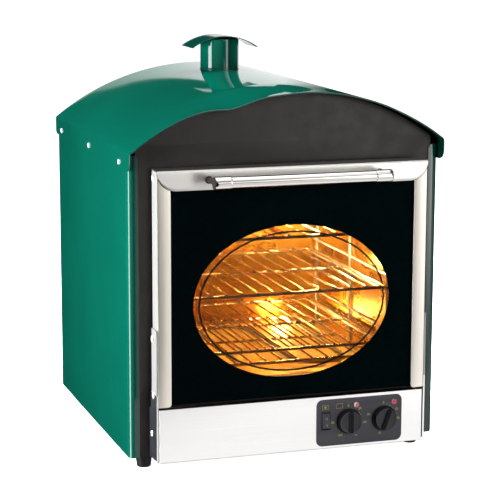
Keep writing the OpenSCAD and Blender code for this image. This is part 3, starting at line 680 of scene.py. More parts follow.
m = Mesh()
for s in (-1, 1):
    for i, y in enumerate((36.6, 213.0, 392.9)):
        pan_head(m, (s * RW, y, LIPZ + 8.2), (s, 0, 0), (0, 1, 0), 7.5, 1.7, turn=0.4 + i)
build("roof_screw_heads", m, SCREW, "cabinet", ["roof_screws"], sharp=50)
m = Mesh()
for s in (-1, 1):
    for i, z in enumerate((ZB + 12, ZB + 210, ZB + 395)):
        pan_head(m, (s * 216, 418.8, z), (0, 1, 0), (1, 0, 0), 7.0, 1.6, turn=0.2 + i)
build("back_screw_heads", m, SCREW, "cabinet", ["back_panel_screws"], sharp=50)
m = Mesh()
for s in (-1, 1):
    pan_head(m, (s * 193.2, -15.5, ZB + 388.4), (s, 0, 0), (0, 1, 0), 8.5, 1.6, turn=0.5)
build("door_screw_heads", m, SCREW, "door", ["door_screws"], sharp=50)
m = Mesh()
for s in (-1, 1):
    for i, (y, z) in enumerate(((-23, ZB + 93), (-15, ZB + 38), (-19, ZB + 171))):
        pan_head(m, (s * 196.0, y, z), (s, 0, 0), (0, 1, 0), 9.0, 2.0, turn=0.3 + i)
    for (y, z, r, L) in ((-23, ZB + 93, 3.0, 13.8), (-15, ZB + 38, 2.5, 7.0)):
        m.lathe([(0, -L), (r - 0.4, -L), (r, -L + 0.4), (r, 0)], (s * 196.0, y, z), (s, 0, 0), 32)
build("hinge_bolt_heads", m, SCREW, "cabinet", ["hinge_bolts"], sharp=50)


# ------------------------------------------------------------------ flue pipe and cap
PY, PR, PRI, APEX = 311.0, 29.0, 27.3, 521.0
PTOP = APEX + 45.5
CR = (51.0 ** 2 + 16.2 ** 2) / 32.4
CTOP = APEX + 50.0
CZC = CTOP - CR


def make_pipe():
    m = Mesh()
    n = 96
    prof = [(PR + 0.6, 0.0), (PR + 0.6, 0.9), (PR + 0.45, 1.5), (PR + 0.2, 2.0), (PR + 0.05, 2.4), (PR, 3.4)]
    rows = []
    for (r, h) in prof:
        row = []
        for k in range(n):
            a = 2 * math.pi * k / n
            x, y = r * math.cos(a), r * math.sin(a)
            z = RZC + math.sqrt(RR * RR - x * x) + h
            row.append((x, PY + y, z - roof_wave(x, PY + y)))
        rows.append(row)
    for r, z in [(PR, APEX + 8), (PR, APEX + 12), (PR, APEX + 30), (PR, PTOP - 6), (PR, PTOP - 3), (PR, PTOP - 0.9), (PR - 0.25, PTOP - 0.3), (PR - 0.8, PTOP), (PRI + 0.3, PTOP - 0.2), (PRI, PTOP - 0.9), (PRI, APEX + 4), (PRI, APEX - 14)]:
        ring = []
        for k in range(n):
            x = r * math.cos(2 * math.pi * k / n)
            # the mouth is cut to the cap's arch
            over = max(0.0, PTOP - (CZC + math.sqrt((CR - 1.5) ** 2 - x * x))) if z > APEX + 30 else 0.0
            ring.append((x, PY + r * math.sin(2 * math.pi * k / n), z - over))
        rows.append(ring)
    m.grid(rows, close_v=True)
    return build("flue_pipe_tube", m, GREEN, "cabinet", ["flue_pipe"], sharp=55)


make_pipe()


def make_cap():
    """Arched sheet with rolled ends, its edges rounded."""
    m = Mesh()
    t = 1.2
    half = math.asin(51.0 / CR)
    y0, y1 = PY - 30, PY + 30
    prof = []
    for i in range(9):
        prof.append((y0 + 0.6 + (y1 - y0 - 1.2) * i / 8.0, 0.0))
    prof += [(y1 - 0.6 + 0.6 * math.sin(math.radians(a)), 0.6 - 0.6 * math.cos(math.radians(a))) for a in (45, 90, 135)]
    prof += [(y1 - 0.6 - (y1 - y0 - 1.2) * i / 8.0, t) for i in range(9)]
    prof += [(y0 + 0.6 - 0.6 * math.sin(math.radians(a)), 0.6 - 0.6 * math.cos(math.radians(a))) for a in (135, 90, 45)]
    rows = []
    for i in range(49):
        a = -half + 2 * half * i / 48.0
        rows.append([((CR - d) * math.sin(a), y, CZC + (CR - d) * math.cos(a)) for (y, d) in prof])
    m.grid(rows, close_v=True)
    n = len(prof)
    m.f.append(tuple(range(n)))
    m.f.append(tuple((len(rows) - 1) * n + i for i in range(n)))
    # the cap takes the darkened copy of the green enamel, as painted shade
    return build("flue_cap_sheet", m, GREEN_CAP_SHADED, "cabinet", ["flue_cap"], sharp=45)


make_cap()
dress("cap_straps", GREEN, 0.2)


# ------------------------------------------------------------------ door
DW, YD0, DT, SW = 193.2, -36.3, 28.3, 18.4
FZ0, FZ1 = ZB + 102, ZB + 362
YD1 = YD0 + DT
DZ0, DZ1 = ZB + 78.2, ZB + 401
RZ0 = DZ1 - 27.5


def make_stile(sign, name):
    """Folded channel: front face with a rolled inner edge, the side wall and the return."""
    x0 = DW - SW
    front = [(x0 + 4.5 - 4.5, RZ0 + 8), (x0, DZ0 + 4.5)] + arc(x0 + 4.5, DZ0 + 4.5, 4.5, 180, 270, 8)[1:] + [(DW - 1.5, DZ0), (DW - 0.4, DZ0 + 0.6), (DW, DZ0 + 2.0), (DW, DZ1 - 1.6), (x0, DZ1 - 1.6)]
    front = [(sign * a, b) for a, b in front]
    o = outline_mesh([front], YD0, YD0 + 1.2, 0.55, XZ, name, STEEL_Z, "door", [], res=3)
    side = [(YD0 + 0.4, DZ0 + 2.2), (YD0 + 1.0, DZ0 + 0.9), (YD0 + 2.4, DZ0), (YD1, DZ0), (YD1, DZ1 - 1.4), (YD0 + 0.4, DZ1 - 1.4)]
    hole = circle(-23, ZB + 93, 3.5, 32)[::-1]
    a, b = (DW - 1.2, DW) if sign > 0 else (-DW, -DW + 1.2)
    outline_mesh([side, hole], a, b, 0.4, YZ, name + "_side", STEEL_SIDE, "door", [], res=2)
    ret = [(x0, DZ0 + 4), (x0, RZ0 + 8)]
    m = Mesh()
    m.grid([[(sign * (x0 + 0.05), YD0 + 0.5, DZ0 + 4.2), (sign * (x0 + 0.05), YD0 + 3.2, DZ0 + 4.2), (sign * (x0 + 1.2), YD0 + 3.2, DZ0 + 4.2), (sign * (x0 + 1.2), YD0 + 0.5, DZ0 + 4.2)],
            [(sign * (x0 + 0.05), YD0 + 0.5, RZ0 + 8), (sign * (x0 + 0.05), YD0 + 3.2, RZ0 + 8), (sign * (x0 + 1.2), YD0 + 3.2, RZ0 + 8), (sign * (x0 + 1.2), YD0 + 0.5, RZ0 + 8)]], close_v=True)
    build(name + "_return", m, STEEL_Z, "door", [], sharp=40)
    back = [(sign * (DW - 14), DZ0 + 4), (sign * DW, DZ0 + 4), (sign * DW, DZ1 - 1.4), (sign * (DW - 14), DZ1 - 1.4)]
    outline_mesh([back], YD1 - 1.2, YD1, 0.3, XZ, name + "_back", STEEL_Z, "door", [])
    return o


o = make_stile(1, "door_stile_right_skin"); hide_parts("door_stile_right")
o = make_stile(-1, "door_stile_left_skin"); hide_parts("door_stile_left")


def make_rail():
    """Top rail: front face with its large drawn corners, the rolled top edge and the flat top."""
    hw, rr = DW + 0.6, 26.5
    r = 3.0
    yf = YD0 - 1.0
    m = Mesh()
    # columns along x; each column runs from the front face's lower edge, over the rolled edge, to the rear
    xs = [-hw + rr * (1 - math.cos(math.radians(a))) for a in range(0, 91, 5)]
    n_mid = 24
    xs += [-hw + rr + (2 * hw - 2 * rr) * i / n_mid for i in range(1, n_mid)]
    xs += [hw - rr * (1 - math.cos(math.radians(a))) for a in range(90, -1, -5)]
    rows = []
    for x in xs:
        d = hw - abs(x)
        low = RZ0 + (rr - math.sqrt(max(0.0, rr * rr - (rr - d) ** 2)) if d < rr else 0.0)
        ztop = DZ1
        low = min(low, ztop - r)
        col = []
        # outer
        col.append((x, yf + 0.55, low))
        col.append((x, yf + 0.15, low + 0.12))
        col.append((x, yf, low + 0.5))
        for i in range(1, 7):
            col.append((x, yf, low + 0.5 + (ztop - r - low - 0.5) * i / 6.0))
        for a in range(10, 91, 10):
            col.append((x, yf + r - r * math.cos(math.radians(a)), ztop - r + r * math.sin(math.radians(a))))
        for i in range(1, 6):
            col.append((x, yf + r + (YD1 - 0.3 - yf - r) * i / 5.0, ztop))
        # round to the inner skin
        col.append((x, YD1, ztop - 0.5))
        col.append((x, YD1 - 0.3, ztop - 1.1))
        for i in range(1, 6):
            col.append((x, YD1 - 0.6 + (yf + r + 0.6 - YD1) * i / 5.0, ztop - 1.1))
        col.append((x, yf + 1.0, ztop - r - 0.2))
        col.append((x, yf + 1.0, low + 0.4))
        rows.append(col)
    m.grid(rows, close_v=True)
    n = len(rows[0])
    m.f.append(tuple(range(n)))
    m.f.append(tuple((len(rows) - 1) * n + i for i in range(n)))
    o = build("door_top_rail_skin", m, STEEL_X, "door", ["door_top_rail"], sharp=50)
    bk = [(-DW + SW + 0.2, RZ0 + 2), (DW - SW - 0.2, RZ0 + 2), (DW - SW - 0.2, DZ1 - 1.2), (-DW + SW + 0.2, DZ1 - 1.2)]
    outline_mesh([bk], YD1 - 1.2, YD1, 0.3, XZ, "door_top_rail_back", STEEL_X, "door", [])
    return o


make_rail()


def make_seam_shadows():
    """A painted shadow: a dark line along the rail's drawn corners, standing in for the shade in the gap where the
    stile's face runs in under it.
    """
    m = Mesh()
    hw, rr = DW + 0.6, 26.5
    for s in (-1, 1):
        rows = []
        pts = [(s * (hw - rr * (1 - math.cos(math.radians(a)))), RZ0 + rr - rr * math.sin(math.radians(a))) for a in range(0, 91, 4)]
        for i, (x, z) in enumerate(pts):
            a, b = pts[max(0, i - 1)], pts[min(len(pts) - 1, i + 1)]
            t = Vector((b[0] - a[0], 0, b[1] - a[1])).normalized()
            nrm = Vector((t.z, 0, -t.x))
            r = 0.55
            rows.append([(x + nrm.x * r * math.cos(u), YD0 - 0.35 + r * math.sin(u), z + nrm.z * r * math.cos(u)) for u in [math.pi * 2 * k / 10 for k in range(10)]])
        m.grid(rows, close_v=True)
        n = len(rows[0])
        base = len(m.v) - len(rows) * n
        m.f.append(tuple(base + k for k in range(n)))
        m.f.append(tuple(base + (len(rows) - 1) * n + k for k in range(n)))
    build("door_rail_seam_shadows", m, SEAM_SHADOW, "door", [], sharp=60)


make_seam_shadows()
dress("door_bottom_channel", DARK_TRIM, 0.25)
dress("door_glass_outer", GLASS, 0.3)
dress("door_glass_inner", GLASS_IN, 0.3)
dress("door_print", PRINT)
# a hair's gap between the print and the pane, so that their faces don't coincide
gap = nodes["door_print"].modifiers.new("gap", "DISPLACE")
gap.mid_level = 0.0
gap.strength = -0.00003
dress("door_seal", SEAL, 0.8)
dress("hinge_bushes", SHAFT, 0.4)

YH, ZH, HR, HL = YD0 - 34.0, ZB + 387, 8.0, 125.0
m = Mesh()
m.lathe([(0.0, -HL), (HR - 0.6, -HL), (HR, -HL + 0.6)] + [(HR, -HL + 2 + (2 * HL - 4) * i / 20.0) for i in range(21)] + [(HR, HL - 0.6), (HR - 0.6, HL), (0.0, HL)], (0, YH, ZH), (1, 0, 0), 64)
build("handle_tube_skin", m, STEEL_HANDLE, "door", ["handle_tube"], sharp=40)
m = Mesh()
for s in (-1, 1):
    R = HR + 0.8
    m.lathe([(HR + 0.02, 102), (HR + 0.35, 102.0), (HR + 0.65, 102.15), (R, 102.6), (R, 104), (R, 112), (R, 120), (R, 124.3), (HR + 0.62, 124.85), (HR + 0.3, 125.0), (HR, 125.0)], (0, YH, ZH), (s, 0, 0), 64)
build("handle_sleeve_rings", m, STEEL_HANDLE, "door", ["handle_sleeves"], sharp=40)


def make_brackets():
    m = Mesh()
    for s in (-1, 1):
        R = HR + 0.8
        m.lathe([(0, 124.6), (HR + 0.2, 124.6), (HR + 0.4, 125.1), (HR + 0.4, 125.5), (HR + 0.15, 125.75), (HR - 0.8, 125.8), (0, 125.8)], (0, YH, ZH), (s, 0, 0), 56)
        # arm: a round bar with a collar at the door
        m.lathe([(0, 8.0), (3.6, 8.0), (3.6, 20.0), (3.6, 29.6), (3.8, 30.5), (4.3, 30.9), (5.0, 31.1), (5.2, 31.4), (5.2, 32.6), (5.0, 33.0), (0, 33.0)], (s * 122.5, YH, ZH), (0, 1, 0), 40)
    return build("handle_bracket_arms", m, BLACKMETAL, "door", ["handle_brackets"], sharp=40)


make_brackets()

# ------------------------------------------------------------------ console
CW = 192.4
DIAL = [(81.5, ZB + 38), (134.3, ZB + 38)]
LAMPS = [(93.0, ZB + 60.2), (150.0, ZB + 60.2)]
SWX, SWZ = 47.8, ZB + 40.2


def rect(cx, cz, w, h):
    return [(cx - w / 2, cz - h / 2), (cx + w / 2, cz - h / 2), (cx + w / 2, cz + h / 2), (cx - w / 2, cz + h / 2)]


def make_console():
    """Folded tray: the front with small bend radii into the side and bottom returns."""
    r = 1.6
    m = Mesh()
    holes = [circle(x, z, 5.0, 32)[::-1] for x, z in DIAL] + [circle(x, z, 2.9, 24)[::-1] for x, z in LAMPS] + [rect(SWX, SWZ, 11.7, 25.1)[::-1]]
    front = rrect(-CW + 0.9, ZB + 0.9, CW - 0.9, ZB + 75, 0.6, 3)
    outline_mesh([front] + holes, YD0, YD0 + 1.2, 0.35, XZ, "console_front_face", STEEL_CONSOLE, "cabinet", ["console_front"], res=2)
    flat = scene.objects["console_front_face"].modifiers.new("flat", "WEIGHTED_NORMAL")
    flat.keep_sharp = True
    flat.weight = 100
    # bends and returns
    for s in (-1, 1):
        rows = []
        for a in range(0, 91, 15):
            x = CW - r + r * math.sin(math.radians(a))
            y = YD0 + r - r * math.cos(math.radians(a))
            rows.append((x, y))
        rows += [(CW, YD0 + 6), (CW, -15.0), (CW, 1.4)]
        inner = [(x - 1.1 if x >= CW - 0.01 else x - 1.1 * math.sin(math.radians(k * 15)), y + (1.1 * math.cos(math.radians(k * 15)) if k < 7 else 0)) for k, (x, y) in enumerate(rows)]
        loop = rows + inner[::-1]
        mm = Mesh()
        z0, z1 = ZB + 0.3, ZB + 70.0
        zt = ZB + 75.0
        mm.grid([[(s * x, y, z0) for x, y in loop], [(s * x, y, (zt if y < YD0 + 1.7 else z1)) for x, y in loop]], close_v=True)
        k = len(rows)
        n = len(loop)
        for base in (0, n):
            for i in range(k - 1):
                mm.f.append((base + i, base + i + 1, base + n - 2 - i, base + n - 1 - i))
        build("console_return_" + ("r" if s > 0 else "l"), mm, STEEL_CONSOLE, "cabinet", [], sharp=50)
    mm = Mesh()
    rows = [(YD0 + r - r * math.cos(math.radians(a)), ZB + r - r * math.sin(math.radians(a))) for a in range(0, 91, 15)] + [(-18.0, ZB), (1.4, ZB)]
    inner = [(y + (1.1 * math.cos(math.radians(k * 15)) if k < 7 else 0), z + (1.1 * math.sin(math.radians(k * 15)) if k < 7 else 1.1)) for k, (y, z) in enumerate(rows)]
    loop = rows + inner[::-1]
    mm.grid([[(-CW + 0.5, y, z) for y, z in loop], [(CW - 0.5, y, z) for y, z in loop]], close_v=True)
    k, n = len(rows), len(loop)
    for base in (0, n):
        for i in range(k - 1):
            mm.f.append((base + i, base + i + 1, base + n - 2 - i, base + n - 1 - i))
    build("console_bottom", mm, STEEL_CONSOLE, "cabinet", [], sharp=50)


make_console()
dress("console_deck", BLACK, 0.2)


def make_hinge_plates():
    """One plate each side drawn in three pieces: a bright steel part beside the door, a dark part beside the console
    and a thin bright strip along the dark part's front edge.
    """
    up = [(YD0, ZB + 95.0), (-6.5, ZB + 95.0), (-9.5, ZB + 96.0), (-12.0, ZB + 99.0), (-12.0, ZB + 184.0), (-13.0, ZB + 185.0), (YD0 + 1.0, ZB + 185.0), (YD0, ZB + 184.0)]
    low = [(YD0 + 0.9, ZB + 3.4), (1.5, ZB + 2.0), (1.5, ZB + 71.0), (-6.5, ZB + 74.0), (-6.5, ZB + 95.0), (YD0 + 0.9, ZB + 95.0)]
    edge = [(YD0, ZB + 3.5), (YD0 + 0.9, ZB + 3.5), (YD0 + 0.9, ZB + 95.0), (YD0, ZB + 95.0)]
    for s in (-1, 1):
        a, b = sorted((s * (DW + 0.4), s * (DW + 2.8)))
        tag = "r" if s > 0 else "l"
        o = outline_mesh([up, circle(-19.0, ZB + 171, 2.5, 24)[::-1]], a, b, 0.35, YZ, "hinge_plate_bright_" + tag, STEEL_PLATE, "cabinet", [])
        outline_mesh([low, circle(-15.0, ZB + 38, 2.5, 24)[::-1]], a, b, 0.2, YZ, "hinge_plate_dark_" + tag, PLATE_DARK, "cabinet", [])
        outline_mesh([edge], a, b, 0.2, YZ, "hinge_plate_edge_" + tag, STEEL_CONSOLE, "cabinet", [])
        if s < 0:
            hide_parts("hinge_plates")


make_hinge_plates()

# label plate, with its holes
holes = [circle(x, z, 5.0, 32)[::-1] for x, z in DIAL] + [circle(x, z, 2.9, 24)[::-1] for x, z in LAMPS] + [rect(SWX, SWZ, 11.7, 25.1)[::-1]]
outline_mesh([rrect(33.5, ZB + 4, 161.3, ZB + 71, 9, 12)] + holes, YD0 - 0.6, YD0, 0.2, XZ, "label_plate_film", LABEL, "cabinet", ["label_plate"])

YL = YD0 - 0.6          # label's face
INK_T = 0.06


def stamp(loops, name, mat):
    return outline_mesh(loops, YL - INK_T, YL + 0.02, 0.0, XZ, name, mat, "cabinet", [], res=0)


def digits(text, x, z, size, name, mat, bold=0.0, turn=0.0):
    """Plain numerals laid on the label."""
    cu = bpy.data.curves.new(name, "FONT")
    cu.body = text
    cu.size = size / 1000.0
    cu.align_x = "CENTER"
    cu.align_y = "CENTER"
    cu.extrude = INK_T / 2000.0
    cu.offset = bold / 1000.0
    cu.resolution_u = 3
    ob = bpy.data.objects.new(name + "_t", cu)
    scene.collection.objects.link(ob)
    dg = bpy.context.evaluated_depsgraph_get()
    me = bpy.data.meshes.new_from_object(ob.evaluated_get(dg))
    bpy.data.objects.remove(ob)
    bpy.data.curves.remove(cu)
    c, q = math.cos(math.radians(turn)), math.sin(math.radians(turn))
    for v in me.vertices:
        a, b = v.co.x * 1000, v.co.y * 1000
        v.co = V(x + a * c - b * q, YL - INK_T / 2 + v.co.z * 1000, z + a * q + b * c)
    bm = bmesh.new()
    bm.from_mesh(me)
    bmesh.ops.remove_doubles(bm, verts=bm.verts, dist=1e-6)
    bmesh.ops.recalc_face_normals(bm, faces=bm.faces)
    bm.to_mesh(me)
    bm.free()
    me.materials.clear()
    me.materials.append(mat)
    o = bpy.data.objects.new(name, me)
    scene.collection.objects.link(o)
    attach(o, "cabinet")
    return o


P = lambda z: ZB + z
digits("0", 80.9, P(59.9), 5.0, "mark_thermostat_0", YELLOW, 0.2)
digits("50", 98.2, P(54.6), 4.6, "mark_thermostat_50", YELLOW, 0.2, 22)
digits("100", 105.2, P(34.2), 4.2, "mark_thermostat_100", YELLOW, 0.2)
digits("150", 92.6, P(16.6), 3.2, "mark_thermostat_150", WHITE, 0.05)
digits("200", 69.2, P(18.2), 4.2, "mark_thermostat_200", YELLOW, 0.2)
digits("250", 57.0, P(37.2), 4.2, "mark_thermostat_250", YELLOW, 0.2)
digits("0", 133.4, P(59.9), 5.0, "mark_timer_0", YELLOW, 0.2)
digits("15", 153.4, P(49.4), 4.4, "mark_timer_15", YELLOW, 0.2, 25)
digits("30", 156.0, P(35.9), 4.2, "mark_timer_30", YELLOW, 0.2)
digits("45", 128.4, P(16.4), 4.4, "mark_timer_45", YELLOW, 0.2, 20)
digits("60", 111.2, P(45.1), 4.4, "mark_timer_60", YELLOW, 0.2)
dots = [circle(x, P(z), 0.75, 16) for x, z in ((97.4, 48.7), (99.3, 46.0), (138.8, 57.6), (143.4, 55.0), (147.2, 51.2))]
for i, d in enumerate(dots):
    stamp([d], "mark_dot_%d" % i, WHITE)


def dashes(x0, x1, z, h, name, mat, n):
    w = (x1 - x0) / n
    for i in range(n):
        stamp([rect(x0 + (i + 0.5) * w, z, w * 0.68, h)], "%s_%d" % (name, i), mat)


dashes(75.5, 90.0, P(12.4), 1.1, "mark_thermostat_red", RED, 3)
dashes(131.0, 139.5, P(12.8), 1.1, "mark_timer_red", RED, 2)
dashes(43.2, 50.8, P(22.8), 1.2, "mark_switch_red", RED, 2)


def frame_rect(cx, cz, w, h, t):
    return [rect(cx, cz, w, h), rect(cx, cz, w - 2 * t, h - 2 * t)[::-1]]


# pictograms: a lamp over the switch, an oven over the thermostat
stamp(frame_rect(46.8, P(59.8), 9.6, 6.6, 0.45), "mark_lamp_frame", YELLOW)
stamp([circle(46.8, P(59.8), 1.75, 20)], "mark_lamp_bulb", YELLOW)
for i in range(6):
    a = math.radians(60 * i + 30)
    cx, cz = 46.8 + 2.75 * math.cos(a) * 1.15, P(59.8) + 2.5 * math.sin(a)
    stamp([circle(cx, cz, 0.3, 8)], "mark_lamp_ray_%d" % i, YELLOW)
stamp(frame_rect(67.6, P(60.5), 9.6, 6.8, 0.45), "mark_oven_frame", YELLOW)
for i in range(4):
    stamp([rect(64.75 + i * 1.9, P(60.4), 1.0, 4.0)], "mark_oven_bar_%d" % i, RED)


def make_knob(center, turn, body, prefix):
    """Skirt, disc and grip bar with softened edges. turn is clockwise seen from the front, in radians."""
    cx, cz = center
    yk = YD0 - 1.2
    R = 18.0
    # skirt and side wall take the darker copy of the knob plastic, as painted shade
    m = Mesh()
    m.lathe([(4.9, 0.02), (R - 0.6, 0.0), (R, -0.35), (R, -1.3), (R - 0.4, -2.1), (R - 1.3, -2.4), (R - 2.4, -2.45), (R - 2.6, -2.6)][::-1], (cx, yk, cz), (0, 1, 0), 96)
    sk = build(prefix + "_skirt", m, KNOB_SHADED, body, [], sharp=40)
    r2 = R - 2.2
    m = Mesh()
    m.lathe([(r2, -2.2), (r2, -5.0), (r2, -8.8), (r2 - 0.08, -9.2)], (cx, yk, cz), (0, 1, 0), 96)
    build(prefix + "_wall", m, KNOB_SHADED, body, [], sharp=60)
    m = Mesh()
    m.lathe([(r2 - 0.08, -9.2), (r2 - 0.3, -9.55), (r2 - 0.9, -9.8), (r2 - 1.6, -9.78), (r2 - 2.3, -9.5), (r2 - 6.0, -9.45), (5.0, -9.45), (0.01, -9.45)], (cx, yk, cz), (0, 1, 0), 96)
    build(prefix + "_disc", m, KNOB, body, [], sharp=40)
    # grip bar: a waisted ridge with a rounded crest, narrowing slightly to its ends
    rows = []
    L = R - 2.5
    nz = 36
    for i in range(nz + 1):
        u = -1 + 2.0 * i / nz
        z = L * u
        e = math.sqrt(max(0.0, 1 - abs(u) ** 6))
        w = (3.1 + 0.9 * abs(u) ** 1.5) * (0.25 + 0.75 * e)
        h = 3.7 * (0.35 + 0.65 * e)
        col = []
        for k in range(13):
            a = math.pi * k / 12
            px = -w * math.copysign(abs(math.cos(a)) ** 0.45, math.cos(a))
            py = -h * abs(math.sin(a)) ** 0.6
            col.append((px, py, z))
        rows.append(col)
    m = Mesh()
    c, s = math.cos(turn), math.sin(turn)
    rows3 = []
    for col in rows:
        rows3.append([(cx + px * c + z * s, yk - 9.3 + py, cz - px * s + z * c) for px, py, z in col])
    m.grid(rows3)
    n = len(rows3[0])
    for i, row in enumerate((rows3[0], rows3[-1])):
        base = 0 if i == 0 else (len(rows3) - 1) * n
        m.f.append(tuple(base + k for k in range(n)))
    # faces turned to the right keep the lighter knob plastic; the crest and the left flank take painted shade
    right = (c, -s)

    def lit_right_flank(p):
        return 1 if p.normal.x * right[0] + p.normal.z * right[1] > 0.75 else 0

    build(prefix + "_grip", m, KNOB_SHADED, body, [], sharp=55, mats=[KNOB_SHADED, KNOB], face_mat=lit_right_flank)
    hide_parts(prefix + "_knob")


make_knob(DIAL[0], 0.0, "thermostat_dial", "thermostat")
make_knob(DIAL[1], math.radians(20), "timer_dial", "timer")
dress("thermostat_shaft", SHAFT)
dress("timer_shaft", SHAFT)
dress("thermostat_body", CASE, 0.6)
dress("timer_body", CASE, 0.6)


def make_switch():
    # bezel with a sloped rim
    outer = rrect(SWX - 6.8, SWZ - 13.4, SWX + 6.8, SWZ + 13.4, 1.2, 5)
    inner = rect(SWX, SWZ, 10.6, 24.0)[::-1]
    o = outline_mesh([outer, inner], YD0 - 2.6, YD0 - 0.6, 0.5, XZ, "rocker_bezel_rim", SWITCH, "cabinet", ["rocker_bezel"], res=3)
    wall = rect(SWX, SWZ, 11.6, 25.0)
    outline_mesh([wall, inner], YD0 - 1.2, YD0 + 16, 0.1, XZ, "rocker_bezel_well", SWITCH, "cabinet", [], res=0)
    outline_mesh([wall], YD0 + 15, YD0 + 18, 0.3, XZ, "rocker_bezel_back", SWITCH, "cabinet", [], res=1)
    # rocker
    prof = [(-8.6, -10.5), (-8.85, -10.1), (-8.8, -9.0)] + [(-7.4 - 1.35 * (abs(v) / 10.5) ** 1.7, v) for v in (-7.5, -6, -4.5, -3, -1.5, 0, 1.5, 3, 4.5, 6, 7.5)] + [(-8.8, 9.0), (-8.85, 10.1), (-8.6, 10.5), (-2, 10.0), (4, 5), (4, -5), (-2, -10.0)]
    a = math.radians(-8)
    yk, zk = YD0 + 3.5, SWZ
    pts = [(yk + y * math.cos(a) - z * math.sin(a), zk + y * math.sin(a) + z * math.cos(a)) for y, z in prof]
    o2 = outline_mesh([pts[::-1]], SWX - 5.0, SWX + 5.0, 0.5, YZ, "rocker_button_cap", ROCKER, "rocker", ["rocker_button"], res=3)

    def on_rocker(u, v, w):
        # u across, v up, w out of the rocker's face
        y, z = -7.4 - 1.35 * (min(abs(v), 9.0) / 10.5) ** 1.7 - w, v
        return (SWX + u, yk + y * math.cos(a) - z * math.sin(a), zk + y * math.sin(a) + z * math.cos(a))

    for nm, ring, cv in (("switch_mark_off", True, 2.9), ("switch_mark_on", False, -7.0)):
        m = Mesh()
        if ring:
            n = 28
            rows = []
            for r, w in ((1.9, 0.0), (1.9, 0.08), (1.25, 0.08), (1.25, 0.0)):
                rows.append([on_rocker(r * 0.85 * math.cos(2 * math.pi * k / n), cv + r * math.sin(2 * math.pi * k / n), w) for k in range(n)])
            m.grid(rows, close_v=True)
        else:
            rows = []
            for v in (-1.8, -0.9, 0, 0.9, 1.8):
                rows.append([on_rocker(-0.38, cv + v, 0.0), on_rocker(-0.38, cv + v, 0.08), on_rocker(0.38, cv + v, 0.08), on_rocker(0.38, cv + v, 0.0)])
            m.grid(rows)
        build(nm, m, WHITE, "rocker", [], sharp=60)


make_switch()


def make_lamps():
    for i, ((x, z), mat) in enumerate(zip(LAMPS, (LAMP_PINK, LAMP_RED))):
        m = Mesh()
        m.lathe([(0.01, -3.55), (1.0, -3.5), (1.9, -3.32), (2.6, -2.95), (3.1, -2.45), (3.3, -1.9), (3.35, -1.5), (3.35, -0.9)], (x, YD0, z), (0, 1, 0), 48)
        o = build("lamp_lens_%d" % i, m, mat, "cabinet", [], sharp=60)
        m = Mesh()
        m.lathe([(3.3, -1.25), (3.5, -1.4), (3.85, -1.25), (3.95, -0.9), (3.95, -0.6)], (x, YD0, z), (0, 1, 0), 48)
        m.lathe([(2.8, -0.6), (2.8, 17.0), (2.4, 17.4), (0.01, 17.4)], (x, YD0, z), (0, 1, 0), 32)
        q = build("lamp_bezel_%d" % i, m, LAMP_RIM, "cabinet", [], sharp=40)
        if i == 0:
            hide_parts("indicator_lamps")
            # the neon tube seen through the pale lens
            m = Mesh()
            pts = [(-0.75, -2.7), (0.75, -2.7), (0.75, 2.7), (-0.75, 2.7)]
            dome = lambda u, v: -3.62 + (u * u + v * v) * 0.062
            rows = [[(x + u, YD0 + dome(u, v), z + v) for u in (-1.3, -0.85, -0.35, 0.1)] for v in (-2.4, -1.2, 0, 1.2, 2.4)]
            m.grid(rows)
            build("lamp_neon", m, LAMP_SLOT, "cabinet", [], sharp=60)


make_lamps()

# ------------------------------------------------------------------ fascia, feet, rear and insides


def make_fascia():
    """The sheet that closes the arch, its top following the skin above it."""
    top = []
    for i in range(81):
        x = 213.6 - 2 * 213.6 * i / 80.0
        top.append((x, RZC + math.sqrt(RR * RR - x * x) - (RT + 0.95) / math.sqrt(1 - (x / RR) ** 2) - max(0.0, roof_wave(x, 2.1))))
    out = [(-213.6, ZB + 0.2), (213.6, ZB + 0.2)] + top
    mouth = rrect(-162.0, FZ0, 162.0, FZ1, 8, 8)[::-1]
    slot = rrect(-160.0, ZB + 10, 160.0, ZB + 66, 4, 6)[::-1]
    return outline_mesh([out, mouth, slot], 1.5, 2.7, 0.3, XZ, "front_fascia_sheet", BLACK, "cabinet", ["front_fascia"])


make_fascia()
dress("back_panel", GALV, 0.2)
dress("base_panel", GALV, 0.2)
dress("cable_gland", SWITCH, 0.4)
dress("foot_screws", SCREW, 0.3)
dress("flue_duct", GALV)
dress("insulation", WOOL)
dress("oven_floor", LINING_FLOOR, 0.2)
for nme in ("oven_ceiling", "oven_side_left", "oven_side_right", "oven_back"):
    dress(nme, LINING, 0.2)
for nme in ("rack_left", "rack_right"):
    dress(nme, WIRE, 0, sharp=45)
for nme in ("shelf_upper", "shelf_middle", "shelf_lower", "floor_grid"):
    dress(nme, WIRE_SHELF, 0, sharp=45)
for nme in ("element_top", "element_bottom"):
    dress(nme, ELEMENT, 0, sharp=45)
dress("lamp_housings", ALU, 0.3)
dress("lamp_lenses", OVENLAMP)
dress("thermostat_phial", COPPER)
dress("terminal_block", CREAM, 0.4)

m = Mesh()
for sx in (-1, 1):
    for y in (22.0, 398.0):
        m.lathe([(2.6, 8.0), (2.6, 0.9), (3.4, 0.0), (8.6, 0.0), (9.2, 0.4), (9.7, 1.2), (10.0, 3.0), (10.7, 9.0), (11.4, 15.8), (11.65, 16.8), (11.6, 17.6), (11.2, 18.5), (2.6, 18.5)], (sx * 199.0, y, 0.0), (0, 0, 1), 56)
build("rubber_feet", m, RUBBER, "cabinet", ["feet"], sharp=40)

